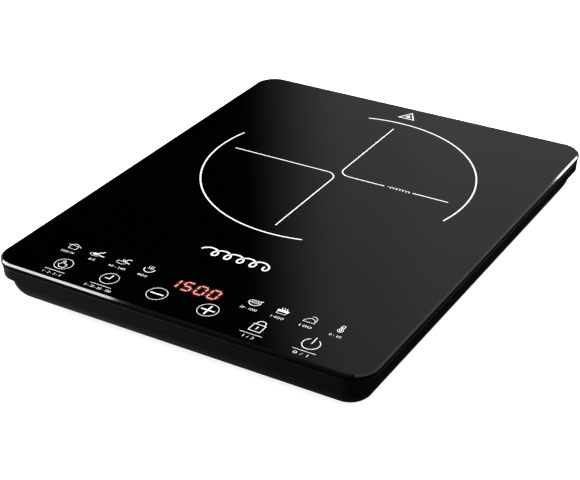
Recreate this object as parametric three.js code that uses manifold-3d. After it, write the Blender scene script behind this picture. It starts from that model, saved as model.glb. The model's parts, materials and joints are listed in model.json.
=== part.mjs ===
// Portable induction cooktop: a slim tabletop hob with a black glass plate, touch keys and one cooking zone.
// Frame: millimetres, +X to the user's right, +Y to the back, +Z up.
// Origin: on the counter, under the middle of the glass plate.

import * as THREE from 'three';
import { mergeVertices } from 'three/addons/utils/BufferGeometryUtils.js';
import Module from 'manifold-3d';

const wasm = await Module();
wasm.setup();

// ---------------------------------------------------------------- overall sizes
const WIDTH = 280;
const DEPTH = 350;
const HEIGHT = 38;
const WALL = 2.2;
const GAP = 0.3;
const CUT = 2;
const OVERRUN = 0.01;

// ---------------------------------------------------------------- glass plate and its seal
const GLASS_THICKNESS = 4;
const GLASS_CORNER = 16.5;
const GLASS_BEVEL = 1.2;
const GLASS_UNDER_BEVEL = 0.4;
const SEAL_THICKNESS = 0.8;
const SEAL_WIDTH = 6;

// ---------------------------------------------------------------- housing shells
const RIM_REVEAL = 0.6;
const RIM_INSET = 0.5;
const WALL_FOOT_INSET = 1;
const PARTING_INSET = 5;
const UPPER_WALL_HEIGHT = 8.2;
const GROOVE_HEIGHT = 2.6;
const LEDGE_THICKNESS = 2;
const LEDGE_WIDTH = 13.5;
const LIP_THICKNESS = 1.4;
const LIP_OVERLAP = 1.6;
const LIP_SHOULDER = 0.5;
const DISH_RUN = 12.6;
const CORNER_TAPER = 0.4;
const CORNER_STEPS = 8;
const DISH_STEPS = 7;

// ---------------------------------------------------------------- feet and housing screws
const FOOT_HEIGHT = 7;
const FOOT_RADIUS = 10;
const FOOT_SPIGOT_RADIUS = 4;
const FOOT_INSET = 42;
const HOUSING_SCREW_INSET = 24;
const SCREW_RADIUS = 1.5;
const SCREW_HEAD_RADIUS = 3;
const SCREW_HEAD_HEIGHT = 1.9;
const BOSS_RADIUS = 4.5;
const PAD_MARGIN = 3;
const COUNTERBORE_DEPTH = 3.2;
const COUNTERBORE_ROOM = 0.8;

// ---------------------------------------------------------------- induction coil
const COIL_FROM_BACK = 130;
const COIL_RADIUS = 84;
const COIL_EYE_RADIUS = 26;
const WINDING_HEIGHT = 3.2;
const FORMER_THICKNESS = 2.5;
const FORMER_RIM = 4;
const SPOKE_COUNT = 6;
const SPOKE_WIDTH = 13;
const FERRITE_LENGTH = 52;
const FERRITE_WIDTH = 11;
const FERRITE_HEIGHT = 4.5;
const MICA_THICKNESS = 0.4;
const COIL_TO_GLASS = 4.5;
const LUG_COUNT = 3;
const LUG_RADIUS = 6;
const LUG_REACH = 4;
const SENSOR_BUSH_RADIUS = 7;
const SENSOR_RADIUS = 3;

// ---------------------------------------------------------------- cooling fan
const FAN_SIZE = 80;
const FAN_THICKNESS = 15;
const FAN_WALL = 2.5;
const FAN_HUB_RADIUS = 17.5;
const FAN_BLADES = 7;
const FAN_BLADE_THICKNESS = 1.2;
const FAN_BLADE_PITCH = 40;
const FAN_TIP_GAP = 1.6;
const FAN_PLATE = 2;
const FAN_SHAFT_RADIUS = 1.5;
const FAN_RUNNING_GAP = 0.06;
const FAN_BEARING_WALL = 2.1;
const FAN_TUBE_WALL = 1.2;
const FAN_CUP_WALL = 1.5;
const FAN_SCREW_INSET = 4.5;

// ---------------------------------------------------------------- boards
const BOARD_THICKNESS = 1.6;
const BOARD_STANDOFF = 4;
const POWER_BOARD_WIDTH = 146;
const POWER_BOARD_DEPTH = 74;
const CONTROL_BOARD_WIDTH = 214;
const CONTROL_BOARD_DEPTH = 42;
const CONTROL_BOARD_FROM_FRONT = 7;
const CONTROL_REST_INSET = 20;
const BOARD_SCREW_INSET = 5;
const POST_RADIUS = 3.6;
const KEY_REACH = 4.8;
const KEY_FROM_FRONT = 19;
const KEY_PLACES = [-94, -56.6, -19.4, 19.4, 56.6, 94];
const DISPLAY_FROM_FRONT = 35.6;
const DISPLAY_WIDTH = 40;
const DISPLAY_DEPTH = 16;
const RIBBON_OFFSET = 32;
const PARTITION_X = -37;
const BAY_CLEARANCE = 3;

// ---------------------------------------------------------------- mains cord gland and vents
const GLAND_X = 84;
const GLAND_WIDTH = 15;
const GLAND_HEIGHT = 11;
const GLAND_FLANGE_HEIGHT = 14;
const GLAND_FLANGE_WIDTH = 19;
const GLAND_FLANGE = 2;
const GLAND_BORE_RADIUS = 3.5;
const SLOT_WIDTH = 3;
const SLOT_PITCH = 6.4;
const EXHAUST_LENGTH = 36;
const EXHAUST_COUNT = 12;
const EXHAUST_FROM_BACK = 34;
const REAR_SLOT_LENGTH = 12;
const REAR_SLOT_HEIGHT = 2.6;
const REAR_SLOT_PITCH = 16;
const REAR_SLOT_COUNT = 8;

// ---------------------------------------------------------------- heights and places worked out from those
const GLASS_BOTTOM = HEIGHT - GLASS_THICKNESS;
const RIM_TOP = GLASS_BOTTOM - RIM_REVEAL;
const LEDGE_TOP = GLASS_BOTTOM - SEAL_THICKNESS - 2 * GAP;
const LEDGE_BOTTOM = LEDGE_TOP - LEDGE_THICKNESS;
const UPPER_BOTTOM = RIM_TOP - UPPER_WALL_HEIGHT;
const BASE_TOP = UPPER_BOTTOM - GROOVE_HEIGHT;
const BASE_BOTTOM = FOOT_HEIGHT;
const FLOOR = BASE_BOTTOM + WALL;
const LIP_TOP = UPPER_BOTTOM + LIP_OVERLAP;
const LIP_INSET = PARTING_INSET + LIP_SHOULDER;
const LIP_INNER_INSET = LIP_INSET + LIP_THICKNESS;
const FLAT_INSET = PARTING_INSET + DISH_RUN;
const COUNTERBORE_TOP = BASE_BOTTOM + COUNTERBORE_DEPTH;
const BASE_BOSS_TOP = COUNTERBORE_TOP + WALL;
const UPPER_BOSS_BOTTOM = BASE_BOSS_TOP + GAP;
const COIL_Y = DEPTH / 2 - COIL_FROM_BACK;
const FORMER_RADIUS = COIL_RADIUS + FORMER_RIM;
const WINDING_TOP = GLASS_BOTTOM - COIL_TO_GLASS;
const FORMER_TOP = WINDING_TOP - WINDING_HEIGHT - GAP;
const FORMER_BOTTOM = FORMER_TOP - FORMER_THICKNESS;
const LUG_DISTANCE = FORMER_RADIUS + LUG_REACH;
const BAY_BACK = COIL_Y - FORMER_RADIUS - BAY_CLEARANCE;
const FAN_X = PARTITION_X - BAY_CLEARANCE - FAN_SIZE / 2;
const FAN_Y = BAY_BACK - FAN_SIZE / 2;
const FAN_BOTTOM = FLOOR + GAP;
const FAN_TOP = FAN_BOTTOM + FAN_THICKNESS;
const FAN_BORE = FAN_SIZE / 2 - FAN_WALL;
const POWER_BOARD_BOTTOM = FLOOR + BOARD_STANDOFF + GAP;
const POWER_BOARD_TOP = POWER_BOARD_BOTTOM + BOARD_THICKNESS;
const POWER_BOARD_X = PARTITION_X + BAY_CLEARANCE + POWER_BOARD_WIDTH / 2;
const POWER_BOARD_Y = BAY_BACK - POWER_BOARD_DEPTH / 2;
const CONTROL_BOARD_TOP = GLASS_BOTTOM - KEY_REACH - 2 * GAP;
const CONTROL_BOARD_BOTTOM = CONTROL_BOARD_TOP - BOARD_THICKNESS;
const CONTROL_BOARD_Y = CONTROL_BOARD_FROM_FRONT + CONTROL_BOARD_DEPTH / 2 - DEPTH / 2;
const GLAND_Z = UPPER_BOTTOM - GAP - GLAND_FLANGE_HEIGHT / 2;
const SHELF_TOP = UPPER_BOTTOM + WALL;

// ---------------------------------------------------------------- materials
const FINISHES = {
  blackGlass: { color: 0x070708, roughness: 0.06, metalness: 0 },
  blackPlastic: { color: 0x161617, roughness: 0.5, metalness: 0 },
  greyPlastic: { color: 0x3a3b3d, roughness: 0.55, metalness: 0 },
  rubber: { color: 0x101010, roughness: 0.85, metalness: 0 },
  silicone: { color: 0x9a2a22, roughness: 0.6, metalness: 0 },
  steel: { color: 0x9a9c9f, roughness: 0.35, metalness: 1 },
  aluminium: { color: 0xb9bcc0, roughness: 0.4, metalness: 1 },
  copper: { color: 0xb4622d, roughness: 0.4, metalness: 1 },
  bronze: { color: 0x8a6a3c, roughness: 0.5, metalness: 1 },
  ferrite: { color: 0x2b2b2e, roughness: 0.7, metalness: 0 },
  mica: { color: 0xcfc7a8, roughness: 0.6, metalness: 0 },
  greenBoard: { color: 0x1f5b36, roughness: 0.5, metalness: 0 },
  capacitorYellow: { color: 0xc9a227, roughness: 0.5, metalness: 0 },
  capacitorGrey: { color: 0x6d7074, roughness: 0.5, metalness: 0 },
  ceramic: { color: 0xe6e3da, roughness: 0.4, metalness: 0 },
  displayRed: { color: 0x3a0a06, roughness: 0.3, metalness: 0 },
  wireWhite: { color: 0xd9d6cf, roughness: 0.6, metalness: 0 },
};

// ---------------------------------------------------------------- tools for making solids
function solid(geometry) {
  const bare = geometry.clone();
  bare.deleteAttribute('normal');
  bare.deleteAttribute('uv');
  const merged = mergeVertices(bare);
  const mesh = new wasm.Mesh({
    numProp: 3,
    vertProperties: Float32Array.from(merged.attributes.position.array),
    triVerts: Uint32Array.from(merged.index.array),
  });
  return new wasm.Manifold(mesh);
}

function geometryOf(body) {
  const mesh = body.getMesh();
  const geometry = new THREE.BufferGeometry();
  geometry.setAttribute('position', new THREE.BufferAttribute(mesh.vertProperties, 3));
  geometry.setIndex(new THREE.BufferAttribute(mesh.triVerts, 1));
  geometry.computeVertexNormals();
  return geometry;
}

function carve(geometry, { add = [], cut = [] }) {
  let body = solid(geometry);
  for (const piece of add) {
    body = body.add(solid(piece));
  }
  for (const piece of cut) {
    body = body.subtract(solid(piece));
  }
  return geometryOf(body);
}

// A rectangle's outline with rounded corners, anticlockwise.
function roundedOutline(halfX, halfY, radius, steps = CORNER_STEPS) {
  const points = [];
  for (let corner = 0; corner < 4; corner++) {
    const centreX = (corner === 0 || corner === 3 ? 1 : -1) * (halfX - radius);
    const centreY = (corner < 2 ? 1 : -1) * (halfY - radius);
    for (let step = 0; step <= steps; step++) {
      const angle = (corner + step / steps) * Math.PI / 2;
      points.push(new THREE.Vector2(centreX + radius * Math.cos(angle), centreY + radius * Math.sin(angle)));
    }
  }
  return points;
}

// The hob's plan outline, moved in from the glass plate's edge.
function hobOutline(inset) {
  const radius = GLASS_CORNER - CORNER_TAPER * inset;
  return roundedOutline(WIDTH / 2 - inset, DEPTH / 2 - inset, radius);
}

// A closed solid through convex outlines of equal point count, listed from the lowest up.
function loft(layers) {
  const count = layers[0].outline.length;
  const positions = layers.flatMap(({ outline, z }) => outline.flatMap((point) => [point.x, point.y, z]));
  const index = [];
  for (let layer = 0; layer + 1 < layers.length; layer++) {
    for (let i = 0; i < count; i++) {
      const here = layer * count + i;
      const next = layer * count + (i + 1) % count;
      index.push(here, next, next + count, here, next + count, here + count);
    }
  }
  const top = (layers.length - 1) * count;
  for (let i = 1; i + 1 < count; i++) {
    index.push(0, i + 1, i);
    index.push(top, top + i, top + i + 1);
  }
  const geometry = new THREE.BufferGeometry();
  geometry.setAttribute('position', new THREE.Float32BufferAttribute(positions, 3));
  geometry.setIndex(index);
  return geometry;
}

function hobLoft(levels) {
  return loft(levels.map(([inset, z]) => ({ outline: hobOutline(inset), z })));
}

function prism(outline, bottom, top, holes = []) {
  const shape = new THREE.Shape(outline);
  shape.holes = holes.map((hole) => new THREE.Path(hole));
  const geometry = new THREE.ExtrudeGeometry(shape, { depth: top - bottom, bevelEnabled: false });
  return geometry.translate(0, 0, bottom);
}

function circle(radius, steps, x = 0, y = 0) {
  const points = [];
  for (let i = 0; i < steps; i++) {
    const angle = i / steps * Math.PI * 2;
    points.push(new THREE.Vector2(x + radius * Math.cos(angle), y + radius * Math.sin(angle)));
  }
  return points;
}

function rod(x, y, radius, bottom, top, steps = 12) {
  return prism(circle(radius, steps, x, y), bottom, top);
}

function box(x, y, sizeX, sizeY, bottom, top) {
  return new THREE.BoxGeometry(sizeX, sizeY, top - bottom).translate(x, y, (bottom + top) / 2);
}

// A turned solid about the Z axis. The profile lists radius and height, from the bottom up.
function turned(profile, steps) {
  const points = profile.map(([radius, height]) => new THREE.Vector2(radius, height));
  return new THREE.LatheGeometry(points, steps).rotateX(Math.PI / 2);
}

function ring(inner, outer, bottom, top, steps) {
  return prism(circle(outer, steps), bottom, top, [circle(inner, steps)]);
}

function tube(points, radius, sides, steps) {
  const section = new THREE.Shape(circle(radius, sides));
  const extrudePath = new THREE.CatmullRomCurve3(points.map((point) => new THREE.Vector3(...point)));
  return new THREE.ExtrudeGeometry(section, { steps, extrudePath, bevelEnabled: false });
}

const cooktop = new THREE.Group();

function piece(name, finish, geometry, parent = cooktop) {
  const mesh = new THREE.Mesh(geometry, new THREE.MeshStandardMaterial(FINISHES[finish]));
  mesh.name = name;
  parent.add(mesh);
  return mesh;
}

// ---------------------------------------------------------------- places that several pieces share
function corners(insetX, insetY = insetX) {
  const x = WIDTH / 2 - insetX;
  const y = DEPTH / 2 - insetY;
  return [['front_left', -x, -y], ['front_right', x, -y], ['back_left', -x, y], ['back_right', x, y]];
}

const screwPlaces = corners(HOUSING_SCREW_INSET);
const footPlaces = corners(FOOT_INSET);

const lugPlaces = Array.from({ length: LUG_COUNT }, (_, i) => {
  const angle = Math.PI / 2 + i / LUG_COUNT * Math.PI * 2;
  return [LUG_DISTANCE * Math.cos(angle), COIL_Y + LUG_DISTANCE * Math.sin(angle)];
});

const fanScrewReach = FAN_SIZE / 2 - FAN_SCREW_INSET;
const fanScrewPlaces = [[-1, -1], [1, 1]].map(([sideX, sideY]) => {
  return [FAN_X + sideX * fanScrewReach, FAN_Y + sideY * fanScrewReach];
});

const boardScrewPlaces = [[-1, -1], [1, 1]].map(([sideX, sideY]) => [
  POWER_BOARD_X + sideX * (POWER_BOARD_WIDTH / 2 - BOARD_SCREW_INSET),
  POWER_BOARD_Y + sideY * (POWER_BOARD_DEPTH / 2 - BOARD_SCREW_INSET),
]);
const boardRestPlaces = [[-1, 1], [1, -1]].map(([sideX, sideY]) => [
  POWER_BOARD_X + sideX * (POWER_BOARD_WIDTH / 2 - BOARD_SCREW_INSET),
  POWER_BOARD_Y + sideY * (POWER_BOARD_DEPTH / 2 - BOARD_SCREW_INSET),
]);
const controlRestPlaces = [-1, 1].flatMap((side) => {
  const x = side * (CONTROL_BOARD_WIDTH / 2 - CONTROL_REST_INSET);
  const front = FLAT_INSET + POST_RADIUS - DEPTH / 2;
  const back = CONTROL_BOARD_Y + CONTROL_BOARD_DEPTH / 2 - BOARD_SCREW_INSET;
  return [[x, front], [x, back]];
});

// ---------------------------------------------------------------- glass plate and seal
function glassPlate() {
  return hobLoft([
    [GLASS_UNDER_BEVEL, GLASS_BOTTOM],
    [0, GLASS_BOTTOM + GLASS_UNDER_BEVEL],
    [0, HEIGHT - GLASS_BEVEL],
    [GLASS_BEVEL, HEIGHT],
  ]);
}

function glassSeal() {
  const outer = RIM_INSET + WALL + GAP;
  const bottom = LEDGE_TOP + GAP;
  return prism(hobOutline(outer), bottom, bottom + SEAL_THICKNESS, [hobOutline(outer + SEAL_WIDTH)]);
}

// ---------------------------------------------------------------- upper housing
// A frame with an upright wall outside and a ledge inside that carries the glass plate on its seal.
// A shelf turns in from the foot of the wall to the lip of the base cover.
function upperHousing() {
  const outside = hobLoft([[WALL_FOOT_INSET, UPPER_BOTTOM], [RIM_INSET, RIM_TOP]]);
  const innerFoot = WALL_FOOT_INSET + WALL;
  const underLedge = hobLoft([[innerFoot, SHELF_TOP], [innerFoot, LEDGE_BOTTOM]]);
  const mouthInset = LIP_INSET - GAP;
  const underLip = hobLoft([[mouthInset, UPPER_BOTTOM - CUT], [mouthInset, SHELF_TOP + OVERRUN]]);
  const window = hobLoft([[RIM_INSET + LEDGE_WIDTH, UPPER_BOTTOM - CUT], [RIM_INSET + LEDGE_WIDTH, HEIGHT]]);
  const sealRecess = hobLoft([[RIM_INSET + WALL, LEDGE_TOP], [RIM_INSET + WALL, HEIGHT]]);
  const frame = solid(outside)
    .subtract(solid(underLedge))
    .subtract(solid(underLip))
    .subtract(solid(window))
    .subtract(solid(sealRecess));

  let body = frame;
  const padEdge = RIM_INSET + WALL + PAD_MARGIN;
  const padSize = HOUSING_SCREW_INSET + BOSS_RADIUS - padEdge;
  for (const [, x, y] of screwPlaces) {
    const padX = Math.sign(x) * (WIDTH / 2 - padEdge - padSize / 2);
    const padY = Math.sign(y) * (DEPTH / 2 - padEdge - padSize / 2);
    const pad = prism(
      roundedOutline(padSize / 2, padSize / 2, BOSS_RADIUS, 3),
      LEDGE_BOTTOM,
      LEDGE_TOP,
    ).translate(padX, padY, 0);
    body = body.add(solid(pad)).add(solid(rod(x, y, BOSS_RADIUS, UPPER_BOSS_BOTTOM, LEDGE_BOTTOM + 1)));
  }
  for (const [, x, y] of screwPlaces) {
    body = body.subtract(solid(rod(x, y, SCREW_RADIUS + GAP, UPPER_BOSS_BOTTOM - 1, UPPER_BOTTOM)));
  }
  for (const slot of rearSlots()) {
    body = body.subtract(solid(slot));
  }
  return geometryOf(body);
}

// Air leaves through a row of slots high in the rear wall.
function rearSlots() {
  const slots = [];
  const bottom = SHELF_TOP + GAP;
  for (let i = 0; i < REAR_SLOT_COUNT; i++) {
    const x = (i - (REAR_SLOT_COUNT - 1) / 2) * REAR_SLOT_PITCH - REAR_SLOT_PITCH;
    slots.push(box(x, DEPTH / 2 - WALL, REAR_SLOT_LENGTH, WALL * 4, bottom, bottom + REAR_SLOT_HEIGHT));
  }
  return slots;
}

// ---------------------------------------------------------------- base cover
// A dish whose rim curves up to the parting groove, with a lip that reaches up inside the shelf.
function dishLevels(rimInset, rimZ, flatInset, flatZ) {
  const levels = [];
  for (let step = 0; step <= DISH_STEPS; step++) {
    const angle = (1 - step / DISH_STEPS) * Math.PI / 2;
    const inset = flatInset - (flatInset - rimInset) * Math.cos(angle);
    levels.push([inset, rimZ - (rimZ - flatZ) * Math.sin(angle)]);
  }
  return levels;
}

// How far in from the plan edge the dish's inner face lies at a height.
function innerInsetAt(z) {
  const share = (BASE_TOP - z) / (BASE_TOP - FLOOR);
  return FLAT_INSET - (FLAT_INSET - LIP_INNER_INSET) * Math.sqrt(1 - share * share);
}

function baseCover() {
  const outside = hobLoft(dishLevels(PARTING_INSET, BASE_TOP, FLAT_INSET, BASE_BOTTOM));
  const lip = hobLoft([[LIP_INSET, BASE_TOP - WALL], [LIP_INSET, LIP_TOP]]);
  const inside = hobLoft([
    ...dishLevels(LIP_INNER_INSET, BASE_TOP, FLAT_INSET, FLOOR),
    [LIP_INNER_INSET, LIP_TOP + CUT],
  ]);
  let body = solid(outside).add(solid(lip)).subtract(solid(inside));
  for (const post of basePosts()) {
    body = body.add(solid(post));
  }
  for (const hole of baseHoles()) {
    body = body.subtract(solid(hole));
  }
  return geometryOf(body);
}

function basePosts() {
  const root = FLOOR - WALL / 2;
  const posts = [];
  for (const [, x, y] of screwPlaces) {
    posts.push(rod(x, y, SCREW_HEAD_RADIUS + WALL + 1, root, BASE_BOSS_TOP));
  }
  for (const [x, y] of lugPlaces) {
    posts.push(rod(x, y, POST_RADIUS, root, FORMER_BOTTOM - GAP));
  }
  for (const [x, y] of [...boardScrewPlaces, ...boardRestPlaces]) {
    posts.push(rod(x, y, POST_RADIUS, root, POWER_BOARD_BOTTOM - GAP, 10));
  }
  for (const [x, y] of controlRestPlaces) {
    posts.push(rod(x, y, POST_RADIUS, root, CONTROL_BOARD_BOTTOM - GAP, 10));
  }
  for (const side of [-1, 1]) {
    posts.push(rod(GLAND_X + side * CLAMP_REACH, CLAMP_Y, POST_RADIUS, root, CLAMP_BOTTOM - GAP, 10));
  }
  return posts;
}

function baseHoles() {
  const holes = [...fanGrille(), ...exhaustSlots(), glandPassage()];
  const through = BASE_BOTTOM - CUT;
  for (const [, x, y] of screwPlaces) {
    holes.push(rod(x, y, SCREW_HEAD_RADIUS + COUNTERBORE_ROOM, through, COUNTERBORE_TOP));
    holes.push(rod(x, y, SCREW_RADIUS + GAP, through, BASE_BOSS_TOP + CUT));
  }
  for (const [, x, y] of footPlaces) {
    holes.push(rod(x, y, FOOT_SPIGOT_RADIUS + GAP, through, FLOOR + CUT));
  }
  for (const [x, y] of lugPlaces) {
    holes.push(rod(x, y, SCREW_RADIUS + GAP, FLOOR, FORMER_BOTTOM));
  }
  for (const [x, y] of boardScrewPlaces) {
    holes.push(rod(x, y, SCREW_RADIUS + GAP, FLOOR, POWER_BOARD_BOTTOM, 10));
  }
  return holes;
}

// Parallel slots inside a circle under the fan, split by a spine down the middle.
function fanGrille() {
  const slots = [];
  const reach = FAN_BORE - 1;
  const spine = 2.4;
  const half = Math.floor(reach / SLOT_PITCH);
  for (let row = -half; row <= half; row++) {
    const y = row * SLOT_PITCH;
    const length = Math.sqrt(reach * reach - y * y) - spine;
    if (length < SLOT_PITCH) {
      continue;
    }
    for (const side of [-1, 1]) {
      const x = FAN_X + side * (spine + length / 2);
      slots.push(box(x, FAN_Y + y, length, SLOT_WIDTH, BASE_BOTTOM - CUT, FLOOR + CUT));
    }
  }
  return slots;
}

function exhaustSlots() {
  const slots = [];
  for (let i = 0; i < EXHAUST_COUNT; i++) {
    const x = (i - (EXHAUST_COUNT - 1) / 2) * SLOT_PITCH;
    const y = DEPTH / 2 - EXHAUST_FROM_BACK - EXHAUST_LENGTH / 2;
    slots.push(box(x, y, SLOT_WIDTH, EXHAUST_LENGTH, BASE_BOTTOM - CUT, FLOOR + CUT));
  }
  return slots;
}

// ---------------------------------------------------------------- mains cord gland and clamp
const GLAND_OUTER_Y = DEPTH / 2 - PARTING_INSET + 2 * GAP;
const GLAND_INNER_Y = DEPTH / 2 - innerInsetAt(GLAND_Z - GLAND_HEIGHT / 2) - GAP;
const GLAND_END_Y = GLAND_OUTER_Y + GLAND_FLANGE;
const GLAND_NECK = 3;
const CLAMP_Y = GLAND_INNER_Y - 16;
const CLAMP_REACH = 9;
const CLAMP_BOTTOM = GLAND_Z + 1;
const CLAMP_THICKNESS = 2.4;
const CLAMP_DEPTH = 8;

function glandPassage() {
  const halfX = GLAND_WIDTH / 2 + GAP;
  const halfZ = GLAND_HEIGHT / 2 + GAP;
  const depth = GLAND_OUTER_Y - GLAND_INNER_Y + 2 * CUT;
  const middle = (GLAND_OUTER_Y + GLAND_INNER_Y) / 2;
  return box(GLAND_X, middle, 2 * halfX, depth, GLAND_Z - halfZ, GLAND_Z + halfZ);
}

// A block with a flange on each side of the wall and a round way through for the cord.
function cordGland() {
  const block = box(
    GLAND_X,
    (GLAND_END_Y + GLAND_INNER_Y - GLAND_NECK) / 2,
    GLAND_WIDTH,
    GLAND_END_Y - GLAND_INNER_Y + GLAND_NECK,
    GLAND_Z - GLAND_HEIGHT / 2,
    GLAND_Z + GLAND_HEIGHT / 2,
  );
  const outerFlange = box(
    GLAND_X,
    (GLAND_OUTER_Y + GLAND_END_Y) / 2,
    GLAND_FLANGE_WIDTH,
    GLAND_END_Y - GLAND_OUTER_Y,
    GLAND_Z - GLAND_FLANGE_HEIGHT / 2,
    GLAND_Z + GLAND_FLANGE_HEIGHT / 2,
  );
  const innerFlange = box(
    GLAND_X,
    GLAND_INNER_Y - GLAND_NECK / 2,
    GLAND_FLANGE_WIDTH,
    GLAND_NECK,
    GLAND_Z - GLAND_HEIGHT / 2,
    GLAND_Z + GLAND_HEIGHT / 2,
  );
  const bore = rod(0, 0, GLAND_BORE_RADIUS, -4 * GLAND_WIDTH, 4 * GLAND_WIDTH, 16)
    .rotateX(Math.PI / 2)
    .translate(GLAND_X, GLAND_INNER_Y, GLAND_Z);
  return carve(block, { add: [outerFlange, innerFlange], cut: [bore] });
}

// A saddle bar that presses the cord down between two posts.
function cordClamp() {
  const bar = box(
    GLAND_X,
    CLAMP_Y,
    2 * (CLAMP_REACH + POST_RADIUS),
    CLAMP_DEPTH,
    CLAMP_BOTTOM,
    CLAMP_BOTTOM + CLAMP_THICKNESS,
  );
  const holes = [-1, 1].map((side) => {
    return rod(GLAND_X + side * CLAMP_REACH, CLAMP_Y, SCREW_RADIUS + GAP, CLAMP_BOTTOM - CUT, LEDGE_TOP, 10);
  });
  const saddle = rod(0, 0, GLAND_BORE_RADIUS, -CLAMP_DEPTH, CLAMP_DEPTH, 12)
    .rotateX(Math.PI / 2)
    .translate(GLAND_X, CLAMP_Y, CLAMP_BOTTOM - GLAND_BORE_RADIUS + 1);
  return carve(bar, { cut: [...holes, saddle] });
}

// ---------------------------------------------------------------- feet and screws
function foot() {
  const seat = BASE_BOTTOM - GAP;
  return turned([
    [0, 0],
    [FOOT_RADIUS - 1, 0],
    [FOOT_RADIUS, 1],
    [FOOT_RADIUS, seat],
    [FOOT_SPIGOT_RADIUS, seat],
    [FOOT_SPIGOT_RADIUS, FLOOR + WALL / 2],
    [0, FLOOR + WALL / 2],
  ], 20);
}

// A pan-head screw that points up from its head.
function risingScrew(headBottom, tip) {
  const shoulder = headBottom + SCREW_HEAD_HEIGHT;
  return turned([
    [0, headBottom],
    [SCREW_HEAD_RADIUS * 0.7, headBottom],
    [SCREW_HEAD_RADIUS, headBottom + SCREW_HEAD_HEIGHT / 2],
    [SCREW_HEAD_RADIUS, shoulder],
    [SCREW_RADIUS, shoulder],
    [SCREW_RADIUS, tip - 1],
    [0, tip],
  ], 12);
}

// The same screw driven down onto a face at the given height.
function fallingScrew(seat, length) {
  return turned([
    [0, seat - length],
    [SCREW_RADIUS, seat - length + 1],
    [SCREW_RADIUS, seat],
    [SCREW_HEAD_RADIUS, seat],
    [SCREW_HEAD_RADIUS, seat + SCREW_HEAD_HEIGHT / 2],
    [SCREW_HEAD_RADIUS * 0.7, seat + SCREW_HEAD_HEIGHT],
    [0, seat + SCREW_HEAD_HEIGHT],
  ], 10);
}

// ---------------------------------------------------------------- induction coil
function coilFormer() {
  const rim = ring(COIL_RADIUS - 2, FORMER_RADIUS, FORMER_BOTTOM, FORMER_TOP, 36);
  const hub = rod(0, 0, COIL_EYE_RADIUS, FORMER_BOTTOM, FORMER_TOP, 24);
  const spokes = [];
  for (let i = 0; i < SPOKE_COUNT; i++) {
    const spoke = box(COIL_RADIUS / 2, 0, COIL_RADIUS, SPOKE_WIDTH, FORMER_BOTTOM, FORMER_TOP);
    spokes.push(spoke.rotateZ(i / SPOKE_COUNT * Math.PI * 2));
  }
  const lugs = [];
  const lugHoles = [];
  for (const [x, y] of lugPlaces) {
    const towardsRim = LUG_RADIUS / LUG_DISTANCE;
    const centreX = x * (1 - towardsRim);
    const centreY = (y - COIL_Y) * (1 - towardsRim);
    lugs.push(rod(x, y - COIL_Y, LUG_RADIUS, FORMER_BOTTOM, FORMER_TOP));
    lugs.push(rod(centreX, centreY, LUG_RADIUS, FORMER_BOTTOM, FORMER_TOP));
    lugHoles.push(rod(x, y - COIL_Y, SCREW_RADIUS + GAP, FORMER_BOTTOM - CUT, FORMER_TOP + CUT));
  }
  const eye = rod(0, 0, SENSOR_BUSH_RADIUS + GAP, FORMER_BOTTOM - CUT, FORMER_TOP + CUT, 16);
  return carve(rim, { add: [hub, ...spokes, ...lugs], cut: [...lugHoles, eye] });
}

function ferriteBar() {
  const start = COIL_EYE_RADIUS + 3;
  const top = FORMER_BOTTOM - GAP;
  return box(start + FERRITE_LENGTH / 2, 0, FERRITE_LENGTH, FERRITE_WIDTH, top - FERRITE_HEIGHT, top);
}

function sensorBush() {
  const bore = SENSOR_RADIUS + GAP;
  const flange = SENSOR_BUSH_RADIUS + 3;
  const top = GLASS_BOTTOM - GAP;
  return turned([
    [bore, FORMER_TOP + GAP],
    [flange, FORMER_TOP + GAP],
    [flange, FORMER_TOP + 2],
    [SENSOR_BUSH_RADIUS, FORMER_TOP + 2],
    [SENSOR_BUSH_RADIUS, top],
    [bore, top],
    [bore, FORMER_TOP + GAP],
  ], 16);
}

function panSensor() {
  return turned([
    [0, FORMER_TOP + GAP],
    [SENSOR_RADIUS * 0.6, FORMER_TOP + GAP],
    [SENSOR_RADIUS, WINDING_TOP],
    [SENSOR_RADIUS, GLASS_BOTTOM - 1],
    [0, GLASS_BOTTOM - GAP],
  ], 12);
}

// ---------------------------------------------------------------- cooling fan
const FAN_PLATE_BOTTOM = FAN_TOP - FAN_PLATE;
const ROTOR_CLEARANCE = 0.8;
const CUP_BOTTOM = FAN_BOTTOM + 1;
const CUP_FLOOR = CUP_BOTTOM + FAN_CUP_WALL;
const CUP_TOP = FAN_PLATE_BOTTOM - ROTOR_CLEARANCE;
const BEARING_BORE = FAN_SHAFT_RADIUS + FAN_RUNNING_GAP;
const BEARING_RADIUS = BEARING_BORE + FAN_BEARING_WALL;
const TUBE_BORE = BEARING_RADIUS + GAP;
const TUBE_RADIUS = TUBE_BORE + FAN_TUBE_WALL;
const TUBE_BOTTOM = CUP_FLOOR + 1.2;
const TIP_RADIUS = FAN_BORE - FAN_TIP_GAP;
const FAN_CORNER = 5;
const FAN_STRUT_WIDTH = 3.5;
const STATOR_CLEARANCE = 1.4;
const SHAFT_END_CLEARANCE = 0.6;
const BLADE_ROOM = CUP_TOP - CUP_BOTTOM - FAN_BLADE_THICKNESS;
const BLADE_CHORD = BLADE_ROOM / Math.sin(THREE.MathUtils.degToRad(FAN_BLADE_PITCH));

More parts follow.
